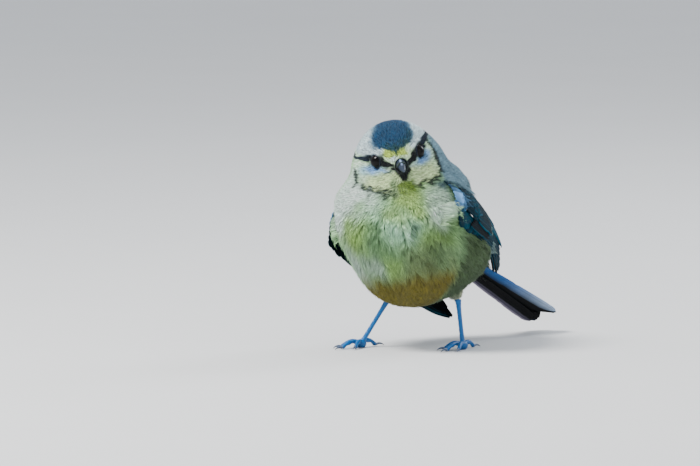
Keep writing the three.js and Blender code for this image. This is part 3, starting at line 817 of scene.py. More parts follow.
def eye_material():
    """Wet dark eye: black pupil, dark brown iris with fine rays, darker rim."""
    found = bpy.data.materials.get("Eye")
    if found:
        return found
    material, tree, principled = shader(
        "Eye", **{"Roughness": 0.08, "Coat Weight": 0.22, "Coat Roughness": 0.02, "Specular IOR Level": 0.05}
    )
    angle = add(tree, "ShaderNodeAttribute", (-1100, 0), attribute_name="from_pupil")
    coords = add(tree, "ShaderNodeTexCoord", (-1100, -300))
    rays = add(tree, "ShaderNodeTexNoise", (-900, -300))
    rays.inputs["Scale"].default_value = 2600
    tree.links.new(coords.outputs["Object"], rays.inputs["Vector"])
    centred = maths(tree, "SUBTRACT", rays.outputs["Fac"], 0.5, (-700, -300))
    wobble = maths(tree, "MULTIPLY", centred, 0.06, (-600, -300))
    ramp = add(tree, "ShaderNodeValToRGB", (-400, 0))
    tree.links.new(maths(tree, "ADD", angle.outputs["Fac"], wobble, (-600, 0)), ramp.inputs["Fac"])
    stops = ramp.color_ramp.elements
    stops[0].position, stops[0].color = 0.30, (0.0015, 0.0015, 0.002, 1)
    stops[1].position, stops[1].color = 0.34, (*(colour("iris") * 0.8), 1)
    for at, shade in ((0.45, colour("iris")), (0.53, colour("iris") * 0.3), (0.6, colour("iris") * 0.05)):
        stop = stops.new(at)
        stop.color = (*shade, 1)
    tree.links.new(ramp.outputs["Color"], principled.inputs["Base Color"])
    return material


def floor_material():
    found = bpy.data.materials.get("Floor")
    if found:
        return found
    material, tree, principled = shader("Floor", **{"Roughness": 0.75, "Specular IOR Level": 0.3})
    mottled = placed_group(
        tree, "Mottle", mottle_group, (-500, 100), **{"Scale": 12.0, "Amount": 0.02, "Other Amount": 0.03}
    )
    mottled.inputs["Colour"].default_value = (*colour("floor"), 1)
    mottled.inputs["Other Colour"].default_value = (*(colour("floor") * 0.9), 1)
    tree.links.new(mottled.outputs["Colour"], principled.inputs["Base Color"])
    return material


# Skin


def envelope(nodes, name, step, rounds):
    """One closed surface round some CAD nodes, evened out."""
    pieces = []
    for node in nodes:
        piece = merged_copy(node, f"{name}_{node}")
        pieces.append(finished_by(piece, "DISPLACE", strength=0.25 * MM, mid_level=0))
    whole = joined(pieces, name)
    finished_by(whole, "REMESH", mode="VOXEL", voxel_size=step * MM)
    alone(whole)
    bpy.ops.object.mode_set(mode="EDIT")
    bpy.ops.mesh.select_all(action="DESELECT")
    bpy.ops.object.mode_set(mode="OBJECT")
    heights = points_of(whole)[:, 2]
    whole.data.vertices[int(heights.argmax())].select = True
    bpy.ops.object.mode_set(mode="EDIT")
    bpy.ops.mesh.select_linked()
    bpy.ops.mesh.select_all(action="INVERT")
    bpy.ops.mesh.delete(type="VERT")
    bpy.ops.object.mode_set(mode="OBJECT")
    return finished_by(whole, "SMOOTH", factor=0.5, iterations=rounds)


def coat_depth(points):
    """How deep the feathers are over the skin at each point, in millimetres."""
    height = seen_from(NECK, points)[:, 2]
    on_head = soft(height, -5, 2)
    depth = mm("body_coat") + (mm("head_coat") - mm("body_coat")) * on_head
    local = seen_from(HEAD, points)
    bill = np.linalg.norm(local - (BILL_ROOT + [0, -2.6, 0]), axis=1)
    face = 0.45 + 0.55 * soft(bill, 2.5, 8)
    for word, _ in SIDES:
        eye = np.linalg.norm(points - box_centre(f"eye_{word}"), axis=1)
        face = np.minimum(face, 0.55 + 0.45 * soft(eye, 2.6, 4.6))
    thigh = 1 - 0.45 * soft(24 - points[:, 2], 0, 4)
    return depth * (1 + (face - 1) * on_head) * thigh


class TIT_OT_skin(bpy.types.Operator):
    """Makes the one skin under the feathers of head, neck, body and thighs"""

    bl_idname = "tit.skin"
    bl_label = "Skin"

    def execute(self, context):
        skin = envelope(BODY_NODES, "skin", mm("skin_step"), 6)
        group = skin.vertex_groups.new(name="Coat depth")
        depths = coat_depth(points_of(skin)) + 0.25
        deepest = depths.max()
        for index, depth in enumerate(depths):
            group.add([index], depth / deepest, "REPLACE")
        finished_by(skin, "DISPLACE", strength=-deepest * MM, mid_level=0, vertex_group="Coat depth")
        finished_by(skin, "SMOOTH", factor=0.5, iterations=4)
        skin.vertex_groups.clear()
        points = points_of(skin)
        # The skin takes the markings darkened, partly as painted shade under the coat, with the grey of the
        # down added.
        give_colours(skin.data, plumage(points) * 0.62 + colour("down") * 0.2)
        alone(skin)
        bpy.ops.object.shade_smooth()
        stand_for(skin, "body_feathers", plume_material("Skin and down"), *BODY_NODES)
        return {"FINISHED"}


# Feathers of the head and body


def flow(points, normals):
    """Which way the feathers lie: from the bill back over the head, and down and back over the body."""
    on_head = soft(seen_from(NECK, points)[:, 2], -7, 3)[:, None]
    bill = placed(HEAD, [[0.2, -18, -1.5]])
    back = unit(points - bill)
    shoulders = SHIFT + [-1, -8, 74]
    down = unit(points - shoulders)
    lon, lat = globe(BODY, points)
    low = soft(54 - points[:, 2], 0, 30)
    rear = soft(points[:, 1] - SHIFT[1], 8, 30)
    bend = np.exp(-(((np.abs(lon) - 64) / 20) ** 2)) * soft(lat, -24, 0)
    sweep = (0.12 + 0.32 * low + 0.8 * rear + 0.75 * bend)[:, None]
    down = unit(down + sweep * unit(np.array([0.0, 1.0, -0.22])))
    heading = across(on_head * back + (1 - on_head) * down, normals)
    wander = (0.30 * ripple(points, 7, 31) + 0.16 * ripple(points, 2.6, 32)) * (1 - 0.6 * on_head[:, 0])
    whorl = points - placed(BODY, globe_point(33, 4, 23))
    reach = np.linalg.norm(whorl, axis=1)
    side = np.sign((np.cross(normals, heading) * whorl).sum(1))
    wander = wander - 0.9 * side * np.exp(-((reach / 4.5) ** 2)) * soft(reach, 0.2, 1.6)
    aside = np.cross(normals, heading)
    return unit(heading * np.cos(wander)[:, None] + aside * np.sin(wander)[:, None])


def globe_point(lon, lat, radius):
    """The point of a frame at a longitude and latitude."""
    a, b = radians(lon), radians(lat)
    return np.array([[sin(a) * cos(b) * radius, -cos(a) * cos(b) * radius, sin(b) * radius]])


def scattered(obj, spacing, seed):
    """Points and normals spread over a mesh, each at least its own spacing from the others."""
    obj.data.calc_loop_triangles()
    corners = np.empty(len(obj.data.loop_triangles) * 3, np.int32)
    obj.data.loop_triangles.foreach_get("vertices", corners)
    corners = corners.reshape(-1, 3)
    points, normals = points_of(obj), normals_of(obj)
    a, b, c = (points[corners[:, k]] for k in range(3))
    areas = np.linalg.norm(np.cross(b - a, c - a), axis=1) / 2
    gaps = spacing((a + b + c) / 3)
    wanted = areas / np.maximum(gaps, 0.05) ** 2 * (gaps > 0)
    rng = np.random.default_rng(seed)
    count = int(wanted.sum() * 5)
    chosen = rng.choice(len(corners), size=count, p=wanted / wanted.sum())
    r, s = np.sqrt(rng.random(count))[:, None], rng.random(count)[:, None]
    spots = a[chosen] * (1 - r) + b[chosen] * r * (1 - s) + c[chosen] * r * s
    na, nb, nc = (normals[corners[chosen, k]] for k in range(3))
    facing = unit(na * (1 - r) + nb * r * (1 - s) + nc * r * s)
    gap = gaps[chosen]
    level = np.round(np.log(np.maximum(gap, 0.05)) / np.log(1.22)).astype(int)
    steps = list(product((-1, 0, 1), repeat=3))
    kept = []
    for step in np.unique(level):
        mine = np.flatnonzero(level == step)
        size = float(1.22**step)
        cells = np.floor(spots[mine] / size).astype(int)
        taken = {}
        for index, (i, j, k), spot in zip(mine, cells, spots[mine]):
            offs = (spot - other for di, dj, dk in steps for other in taken.get((i + di, j + dj, k + dk), ()))
            if all(off @ off >= size * size for off in offs):
                taken.setdefault((i, j, k), []).append(spot)
                kept.append(index)
    kept = np.sort(np.array(kept))
    return spots[kept], facing[kept]


def nearest_on(tree, points):
    """The nearest place of a surface to each point, its normal there and how far it is."""
    places, facing, away = np.empty_like(points), np.empty_like(points), np.empty(len(points))
    for k, point in enumerate(points):
        place, normal, _, far = tree.find_nearest(Vector(point))
        places[k], facing[k], away[k] = place, normal, far
    return places, facing, away


def surface_tree(obj):
    points = points_of(obj)
    return BVHTree.FromPolygons(
        [Vector(p) for p in points], [tuple(p.vertices) for p in obj.data.polygons]
    )


def feather_size(points):
    """For a feather rooted at each point: its length, its width and the gap to the next, in millimetres."""
    on_head = soft(seen_from(NECK, points)[:, 2], -9, 3)
    local = seen_from(HEAD, points)
    bill = np.linalg.norm(local - (BILL_ROOT + [0, -2.6, 0]), axis=1)
    face = 1 - soft(bill, 3, 12)
    body = mm("breast_feather") * (1 + 0.13 * soft(34 - points[:, 2], 0, 12))
    head = mm("head_feather") + (mm("face_feather") - mm("head_feather")) * face
    for word, _ in SIDES:
        eye = np.linalg.norm(points - box_centre(f"eye_{word}"), axis=1)
        head = head * (0.52 + 0.48 * soft(eye, 2.6, 5))
    length = body + (head - body) * on_head
    low = soft(26 - points[:, 2], 0, 3)
    thigh = low * (1 - soft(points[:, 1], SHIFT[1] + 16, SHIFT[1] + 22))
    length = length * (1 - 0.35 * thigh)
    return length, 0.36 * length, 0.25 + 0.1 * length


def feather_paths(roots, normals, skin_tree, guide_tree, rng):
    """Three frames along each feather, from its root to its tip: places, facings and headings."""
    length, width, _ = feather_size(roots)
    length = length * rng.uniform(0.8, 1.18, len(roots))
    _, _, to_guide = nearest_on(guide_tree, roots)
    depth = coat_depth(roots)
    under = to_guide > depth + 1.3
    heading = flow(roots, normals)
    turn = rng.normal(0, 0.09, len(roots))
    aside = np.cross(normals, heading)
    heading = unit(heading + aside * turn[:, None])
    places, facings, headings = [roots - normals * 0.12], [normals], [heading]
    ahead, facing = roots + normals * to_guide[:, None] * 0.7, normals
    rises = (rng.uniform(0.42, 0.62, len(roots)), rng.uniform(0.78, 1.02, len(roots)))
    for rise in rises:
        step = ahead + headings[-1] * length[:, None] * 0.5
        on_guide, guide_facing, _ = nearest_on(guide_tree, step)
        on_skin, skin_facing, _ = nearest_on(skin_tree, step)
        facing = np.where(under[:, None], skin_facing, guide_facing)
        lift = np.where(under, 0.5 * rise * np.minimum(depth, 1.2), -depth * (1 - rise))
        base = np.where(under[:, None], on_skin, on_guide)
        place = base + facing * lift[:, None]
        ahead = base
        onward = flow(place, facing)
        onward = unit(onward + np.cross(facing, onward) * turn[:, None])
        places.append(place)
        facings.append(facing)
        headings.append(onward)
    return places, facings, headings, length, width


# One barb: a three-sided root, a three-sided middle and a point.
STRAND_FACES = np.array(
    [[0, 1, 2], [0, 2, 5], [0, 5, 3], [2, 1, 4], [2, 4, 5],
     [1, 0, 3], [1, 3, 4], [3, 5, 6], [5, 4, 6], [4, 3, 6]]
)


def tufts(paths, barbs, barb_width, stray, rng):
    """Feathers as fans of barbs: points, triangles, colours, map offsets and the feather of each point."""
    places, facings, headings, length, width = paths
    asides = [unit(np.cross(n, d)) for n, d in zip(facings, headings)]
    whole_colour = plumage(places[1] * 0.35 + places[2] * 0.65)
    count = len(length)
    tuft_shade = 1 + 0.13 * rng.normal(size=count)
    gather = rng.uniform(0.35, 1.0, count)
    fan = np.linspace(-1, 1, barbs)
    points, colours, offsets = [], [], []
    for k in range(barbs):
        off = fan[k] + rng.uniform(-0.12, 0.12, count)
        start = 0.30 * (1 - np.abs(off)) * rng.uniform(0.2, 1, count)
        wild = rng.random(count) < stray
        reach = (1 - 0.30 * np.clip(np.abs(off), 0, 1) ** 2) * rng.uniform(0.84, 1.06, count)
        reach = reach * np.where(wild, rng.uniform(1.1, 1.35, count), 1)
        stations = (start, start + (reach - start) * rng.uniform(0.42, 0.58, count), reach)
        spreads = (0.10 * off, 0.75 * off, off * gather + np.where(wild, rng.normal(0, 0.5, count), 0))
        drop = 0.14 * off**2
        strand = barb_width * rng.uniform(0.75, 1.25, count)
        shade = tuft_shade * (1 + 0.2 * rng.normal(size=count))
        made, middles = [], []
        for n, (t, spread) in enumerate(zip(stations, spreads)):
            t = t[:, None]
            weights = (2 * t * t - 3 * t + 1, 4 * t - 4 * t * t, 2 * t * t - t)
            centre = sum(w * p for w, p in zip(weights, places))
            aside = unit(sum(w * a for w, a in zip(weights, asides)))
            facing = unit(sum(w * f for w, f in zip(weights, facings)))
            centre = centre + aside * (spread * width / 2)[:, None] - facing * (drop * n * 0.5)[:, None]
            middles.append(centre)
            if n < 2:
                half = (strand * (0.42, 0.5)[n])[:, None]
                made += [centre + aside * half, centre - aside * half, centre + facing * half * 0.7]
            else:
                made.append(centre + facing * np.where(wild, 0.3, 0)[:, None])
        points.append(np.stack(made, 1))
        middle = whole_colour * 0.35 + plumage(middles[1]) * 0.65
        tip = whole_colour * 0.35 + plumage(middles[2]) * 0.65
        # Each barb is darker at the root, partly the grey base of the feather and partly painted shade deep
        # in the coat, and painted lighter at the tip as painted light on the outside of the coat.
        root = middle * 0.4 + colour("down") * 0.15 * np.clip(middle.mean(1, keepdims=True) * 4, 0, 1)
        tint = np.stack([root, middle * 0.9, tip * 1.14], 1)[:, [0, 0, 0, 1, 1, 1, 2]]
        colours.append(tint * shade[:, None, None])
        across_map = (k + np.array([0.1, 0.9, 0.5, 0.1, 0.9, 0.5, 0.5])) / barbs
        along_map = np.array([0.08, 0.08, 0.0, 0.55, 0.55, 0.5, 1.0])
        offsets.append(np.tile(np.stack([across_map, along_map], 1), (count, 1, 1)))
    points, colours, offsets = (np.stack(part, 1) for part in (points, colours, offsets))
    starts = np.arange(count * barbs) * 7
    triangles = (starts[:, None, None] + STRAND_FACES).reshape(-1, 3)
    owner = np.repeat(np.arange(count), barbs * 7)
    return points.reshape(-1, 3), triangles, colours.reshape(-1, 3), offsets.reshape(-1, 2), owner


def unwrapped(roots, centre):
    """The skin seen from inside, flattened round its own middle and spread over the map."""
    rays = unit(roots - centre)
    middle = unit(rays.mean(0))
    helper = np.array([0, 0, 1.0]) if abs(middle[2]) < 0.8 else np.array([0, 1.0, 0])
    right = unit(np.cross(helper, middle))
    up = np.cross(middle, right)
    angle = np.arccos(np.clip(rays @ middle, -1, 1))
    flat = np.stack([rays @ right, rays @ up], 1)
    flat = unit(flat) * angle[:, None]
    low, high = flat.min(0), flat.max(0)
    return 0.01 + (flat - low) / (high - low) * 0.975


def coat_piece(name, roots, paths, barbs, barb_width, stray, rng, centre, slot):
    """One piece of the coat, as a joined mesh with its map."""
    points, triangles, colours, offsets, owner = tufts(paths, barbs, barb_width, stray, rng)
    spots = unwrapped(roots, centre)[owner] + offsets * 0.003
    obj = object_from(name, points, triangles, colours, spots[triangles.ravel()])
    return stand_for(obj, slot, plume_material("Plumage"))


def clear_of_bare_parts(points):
    """Where feathers grow: not on the eyes, the bill or the ends of the thighs."""
    local = seen_from(HEAD, points) - BILL_ROOT
    in_bill = (np.abs(local[:, 0]) < 1.5) & (local[:, 1] < -0.5) & (local[:, 2] > -1.6) & (local[:, 2] < 1.5)
    free = ~in_bill
    for word, _ in SIDES:
        free &= np.linalg.norm(points - box_centre(f"eye_{word}"), axis=1) > 2.72
        low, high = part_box(f"tarsus_{word}")
        ankle = np.array([(low.x + high.x) / 2, (low.y + high.y) / 2, high.z]) / MM
        off = np.linalg.norm((points - ankle)[:, :2], axis=1)
        free &= (off > 3.4) | (points[:, 2] > ankle[2] - 1.0) | (points[:, 2] > 20)
    return free


def grown_surfaces():
    """The skin, and the outside of the whole plumage with wings and tail, to lay feathers between."""
    skin = bpy.data.objects["skin"]
    guide = envelope((*BODY_NODES, "wing_left", "wing_right", "tail"), "guide", 0.7, 8)
    trees = surface_tree(skin), surface_tree(guide)
    bpy.data.objects.remove(guide)
    return skin, trees


def bristle_paths(count, rng):
    """The short feathers round the root of the bill, which point forward along it."""
    turn = rng.uniform(-pi, pi, count)
    places = []
    for ahead, swell in ((2.2, 0.1), (3.3, 0.42), (4.6, 0.12)):
        ahead = ahead + rng.normal(0, 0.18, count) + 0.5 * np.clip(np.sin(turn), 0, 1)
        high = np.where(turn > 0, 1.85, 1.25) * (1 - 0.05 * ahead)
        wide = (1.66 + swell) * (1 - 0.04 * ahead)
        spot = np.stack([wide * np.cos(turn), -ahead, (high + swell) * np.sin(turn)], 1)
        spot[:, 2] -= 0.25 + 0.03 * ahead
        places.append(placed(HEAD, spot + BILL_ROOT))
    out = np.stack([np.cos(turn), 0 * turn, np.sin(turn)], 1) @ HEAD[:3, :3].T
    headings = [unit(b - a) for a, b in zip(places, places[1:])]
    headings = [*headings, headings[-1]]
    length = np.linalg.norm(places[2] - places[0], axis=1)
    return places, [out, out, out], headings, length, rng.uniform(0.5, 0.9, count)


def scapular_paths(word, rng):
    """The feathers of the shoulder, which lie over the upper edge of the folded wing."""
    place = wing_sheet(*WINGS[word])
    rows, columns = 13, 9
    u, share = (g.ravel() for g in np.meshgrid(np.linspace(-5, 9.5, rows), np.linspace(0, 1, columns)))
    u = u + rng.normal(0, 0.35, len(u))
    v = 12.2 - (12.2 - 7.2) * share + rng.normal(0, 0.25, len(u))
    length = rng.uniform(6.2, 8.6, len(u))
    drop = 1.2 + 1.4 * share
    rise = rng.uniform(-0.25, 0.35, len(u))
    stations = ((0, 1.6), (0.5, 4.4), (1, 4.3))
    places = [place(u + length * t, v - drop * t, h + rise * t) for t, h in stations]
    facings = [unit(place(u + length * t, v - drop * t, h + 1) - place(u + length * t, v - drop * t, h))
               for t, h in stations]
    headings = [unit(b - a) for a, b in zip(places, places[1:])]
    return places, facings, [*headings, headings[-1]], length, 0.36 * length


def fringe_paths(word, trees, rng):
    """The feathers of the breast's side, which lie over the leading edge of the folded wing."""
    place = wing_sheet(*WINGS[word])
    v, row = (g.ravel() for g in np.meshgrid(np.linspace(-13, -5.5, 12), np.arange(4)))
    u = -12 + 1.5 * row + rng.normal(0, 0.5, len(v))
    v = v + rng.normal(0, 0.4, len(v))
    length = rng.uniform(4.5, 7.5, len(v))
    fall = rng.normal(0, 0.8, len(v))
    root, root_facing, _ = nearest_on(trees[0], place(u, v, 0 * u))
    places, facings = [root], [root_facing]
    for t, lift in ((0.5, 1.1), (1, 1.7)):
        spot, facing, _ = nearest_on(trees[1], place(u + length * t, v + fall * t, 3 + 0 * u))
        places.append(spot + facing * lift)
        facings.append(facing)
    headings = [unit(b - a) for a, b in zip(places, places[1:])]
    return places, facings, [*headings, headings[-1]], length, 0.3 * length


def overlay(name, paths, rng):
    """One piece of feathers that lie over the edge of a folded wing."""
    coat_piece(name, paths[0][0], paths, 13, mm("barb_width"), 0.05, rng, BODY[:3, 3], "body_feathers")


class TIT_OT_coat(bpy.types.Operator):
    """Grows the small feathers of the head and body over the skin"""

    bl_idname = "tit.coat"
    bl_label = "Head and body feathers"

    def execute(self, context):
        skin, trees = grown_surfaces()
        seed = sizes().seed

        def spacing(points):
            gap = feather_size(points)[2]
            return np.where(clear_of_bare_parts(points), gap, 0)

        roots, normals = scattered(skin, spacing, seed)
        free = clear_of_bare_parts(roots)
        _, _, to_guide = nearest_on(trees[1], roots)
        free &= to_guide < coat_depth(roots) + 4.2
        roots, normals = roots[free], normals[free]
        height = seen_from(NECK, roots)[:, 2]
        lon, lat = globe(HEAD, roots)
        body_lon, body_lat = globe(BODY, roots)
        head = height > -1
        crown = head & (lat > np.interp(lon, *CAP_EDGE) - 2)
        nape = head & ~crown & (np.abs(lon) > 84)
        face = head & ~crown & ~nape
        belly = ~head & (body_lat < -26)
        back = ~head & ~belly & (np.abs(body_lon) > 105)
        breast = ~head & ~belly & ~back & (np.abs(body_lon - 5) < 42)
        side = ~head & ~belly & ~back & ~breast
        pieces = [
            ("crown_feathers", crown, "crown_feathers", True),
            ("breast_feathers", breast, "body_feathers", False),
        ]
        ahead = np.abs(body_lon) < 80
        for word, sign in SIDES:
            mine, mine_below = lon * sign > 0, body_lon * sign > 0
            pieces += [
                (f"nape_feathers_{word}", nape & mine, "crown_feathers", True),
                (f"face_feathers_{word}", face & mine, "pale_feathers", True),
                (f"side_feathers_{word}", side & mine_below, "body_feathers", False),
                (f"back_feathers_{word}", back & mine_below, "body_feathers", False),
                (f"belly_feathers_{word}", belly & mine_below & ahead, "body_feathers", False),
                (f"vent_feathers_{word}", belly & mine_below & ~ahead, "body_feathers", False),
            ]
        for number, (name, mine, slot, on_head) in enumerate(pieces):
            rng = np.random.default_rng(seed + 10 + number)
            centre = (HEAD if on_head else BODY)[:3, 3]
            width = mm("barb_width") * (0.66 if on_head else 1)
            paths = feather_paths(roots[mine], normals[mine], *trees, rng)
            barbs, stray = (7, 0.02) if on_head else (13, 0.05)
            coat_piece(name, roots[mine], paths, barbs, width, stray, rng, centre, slot)
        for word, sign in SIDES:
            rng = np.random.default_rng(seed + 50 + sign)
            overlay(f"scapulars_{word}", scapular_paths(word, rng), rng)
            overlay(f"wing_fringe_{word}", fringe_paths(word, trees, rng), rng)
        rng = np.random.default_rng(seed + 60)
        paths = bristle_paths(150, rng)
        coat_piece("bill_bristles", paths[0][0], paths, 5, 0.09, 0.05, rng, HEAD[:3, 3], "pale_feathers")
        return {"FINISHED"}


# Wings


def wing_sheet(bend, tip, facing, bulge):
    """A wing's sheet: places at u along it, v across it towards the back, and h out of it."""
    start, along = np.array(bend, float), unit(np.subtract(tip, bend).astype(float))
    out = np.array(facing, float)
    out = unit(out - along * (out @ along))
    up = np.cross(out, along)
    if up[2] < 0:
        up = -up
    length = mm("wing_length")

    def place(u, v, h):
        share = u / length
        lift = h + bulge * 4 * share * (1 - share) - v * v / (2 * 22.0)
        local = start + np.outer(u, along) + np.outer(v, up) + np.outer(lift, out)
        return placed(BODY, local)

    return place


WINGS = {
    "left": ([21.3, -5.6, 10.2], [7.6, 46.8, -14.4], [0.86, 0.15, 0.48], 3.2),
    "right": ([-23.5, -4.5, 8], [-8.7, 45.2, -30.6], [-0.9, 0.1, 0.35], 3.5),
}
TUCK = {"left": 5.2, "right": 0}  # how far in the lowest primary's tip lies
TUCKED_REACH = 0.95
# The tiers of the folded wing from the lowest up: each goes evenly from its first feather to
# its last. lead is the share of the width before the shaft, point how far the tip tapers.
TIERS = [
    dict(name="primaries", count=9, root=((5, -10.5), (19, -2.5)), tip=((62, -4), (62, 1.5)), width=5.2,
         rise=(1.2, 1.5), reach=(0.95, 0.99, 1, 0.98, 0.95, 0.91, 0.86, 0.82, 0.79), lead=0.34, point=0.1),
    dict(name="secondaries", count=6, root=((19, -1.5), (21, 5)), tip=((49, 0), (46, 5.5)), width=5.4,
         rise=(1.7, 2.7), lead=0.4, point=0.1),
    dict(name="tertials", count=3, root=((20, 6), (19, 8.6)), tip=((42.5, 6.2), (31, 9.4)), width=6.4,
         rise=(2.9, 3.4), lead=0.48, point=0.1),
    dict(name="primary_coverts", count=8, root=((3, -10), (12, -4.4)), tip=((20, -9.6), (26, -3.2)),
         width=2.9, rise=(1.8, 2.2), lead=0.42, point=0.15),
    dict(name="greater_coverts", count=11, root=((9, -7), (12, 9)), tip=((23.5, -6.6), (24.5, 9.6)),
         width=3.9, rise=(2.5, 3.4), lead=0.45, point=0.1),
    dict(name="median_coverts", count=8, root=((6, -3.5), (7, 8.5)), tip=((14.5, -2.6), (15.5, 9)),
         width=3.7, rise=(3, 3.9), lead=0.5, point=0.1),
]
LESSER_ROWS = 6
LESSER_COUNT = 12


def vane_pattern(rows=26, columns=10):
    """One feather's vane, 1 long along X and 1 wide across Y, both faces, with its shaft raised."""
    obj = from_primitive(
        bpy.ops.mesh.primitive_grid_add, "vane_pattern", x_subdivisions=rows, y_subdivisions=columns,
        size=1, location=(0.5, 0, 0),
    )
    bpy.ops.object.transform_apply(location=True)
    bpy.ops.object.mode_set(mode="EDIT")
    bpy.ops.mesh.select_mode(type="VERT")
    for strip, factor in ((1, 0.35), (2, 0.8)):
        bpy.ops.mesh.select_all(action="DESELECT")
        bpy.ops.object.mode_set(mode="OBJECT")
        for vertex in obj.data.vertices:
            vertex.select = abs(abs(vertex.co.y) * columns - strip) < 0.3
        bpy.ops.object.mode_set(mode="EDIT")
        bpy.ops.transform.resize(value=(1, factor, 1))
    bpy.ops.mesh.select_all(action="DESELECT")
    bpy.ops.object.mode_set(mode="OBJECT")
    for vertex in obj.data.vertices:
        vertex.select = abs(vertex.co.y) < 0.01
    bpy.ops.object.mode_set(mode="EDIT")
    bpy.ops.transform.translate(value=(0, 0, 0.35))
    bpy.ops.object.mode_set(mode="OBJECT")
    finished_by(obj, "SOLIDIFY", thickness=1.0, offset=0)
    return obj


def vane_copy(pattern, name, place, root, tip, width, rise, thickness, rng, lead=0.5, point=0.15, bow=0.0,
              camber=0.25, splits=2, rise_tip=None, paint_vane=None, blunt=0.5):
    """A copy of the pattern laid on a sheet as one feather, with its map and its colours."""
    mesh = pattern.data.copy()
    obj = bpy.data.objects.new(name, mesh)
    bpy.context.scene.collection.objects.link(obj)
    flat = points_of(obj) * MM
    t, s, z = np.clip(flat[:, 0], 0, 1), flat[:, 1] * 2, flat[:, 2]
    s = np.clip(s, -1, 1)
    root, tip = np.array(root, float), np.array(tip, float)
    run = tip - root
    length = np.hypot(*run)
    side = np.array([-run[1], run[0]]) / length
    outline = np.interp(t, [0, 0.12, 0.36, 0.72, 0.88, 1], [0.4, 0.72, 0.95, 1, 0.65 + 0.42 * blunt, blunt])
    end = np.sqrt(np.clip(1 - ((t - (1 - point * 1.4)) / (point * 1.45)).clip(0) ** 2, 0.004, 1))
    outline = outline * end
    for at in rng.uniform(0.35, 0.97, splits):
        edge = rng.choice([-1, 1])
        notch = np.exp(-(((t - at) * length / 0.9) ** 2)) * (s * edge > 0.55) * rng.uniform(0.1, 0.3)
        outline = outline * (1 - notch)
    half = np.where(s < 0, width * lead, width * (1 - lead))
    off = s * half * outline + bow * 4 * t * (1 - t)
    u = root[0] + run[0] * t + side[0] * off
    v = root[1] + run[1] * t + side[1] * off
    top = rise if rise_tip is None else rise + (rise_tip - rise) * t
    body = thickness * (np.clip(z, -0.5, 0.5) + (z > 0.5) * 0.5 * (1 - t))
    h = top + body - camber * np.abs(s) ** 2 * (0.4 + 0.6 * t)
    move_points(obj, place(u, v, h))
    if paint_vane is not None:
        give_colours(mesh, paint_vane(t, s))
    layer = mesh.uv_layers.new(name="vane")
    loops = np.empty(len(mesh.loops), np.int32)
    mesh.loops.foreach_get("vertex_index", loops)
    spots = np.stack([t * length, s * half], 1)[loops] * 0.1
    layer.data.foreach_set("uv", spots.astype(np.float32).ravel())
    return obj


def wing_paint(tier, share, rng):
    """The colours of one wing feather from root to tip and from its leading edge to its trailing one."""
    dark, blue, pale = colour("wing_dark"), colour("wing_blue"), colour("wing_white")
    covert = colour("covert_blue")
    tone, bar = 1 + 0.12 * rng.normal(), 0.9 if share < 0.2 else rng.uniform(0.05, 0.4)

    def shades(t, s):
        edge = soft(-s, 0.6, 0.9)
        base = np.tile(dark, (len(t), 1))
        if tier == "primaries":
            glow = np.maximum(edge * soft(t, 0.1, 0.3) * 0.7, 0.3 * soft(0.6 - t, 0, 0.2))
            return mixed(base, blue * 0.5, glow) * tone
        if tier == "secondaries":
            made = mixed(base, blue * 0.5, 0.15 * soft(-s, -0.4, 0.4))
            made = mixed(made, blue, edge * soft(t, 0.1, 0.3))
            return mixed(made, pale, soft(t, 0.965, 0.995) * 0.15) * tone
        if tier == "tertials":
            made = mixed(base, blue * 0.5, 0.3 * soft(-s, -0.5, 0.5) + 0.5 * edge)
            line = soft(-s, 0.5, 0.75) * soft(0.95 - t, 0, 0.2) * (0.3 < share < 0.7)
            return mixed(made, pale, np.maximum(soft(t, 0.95, 0.985) * 0.5, line)) * tone
        if tier == "primary_coverts":
            return mixed(base, blue, edge * 0.4) * tone
        if tier == "greater_coverts":
            made = mixed(base, blue, 0.1 + 0.6 * edge)
            return mixed(made, pale * [0.6, 0.9, 0.75], soft(t, 0.9, 0.96) * edge.clip(0.25, 1) * bar) * tone
        if tier == "median_coverts":
            return mixed(base, blue * 0.8 + covert * 0.04, 0.2 + 0.5 * edge) * tone
        made = mixed(base, blue * 0.8, 0.2 + 0.3 * soft(t, 0.3, 0.8))
        return mixed(made, covert, np.clip(share, 0, 1) * (0.6 + 0.4 * soft(t, 0.3, 0.8))) * tone

    return shades


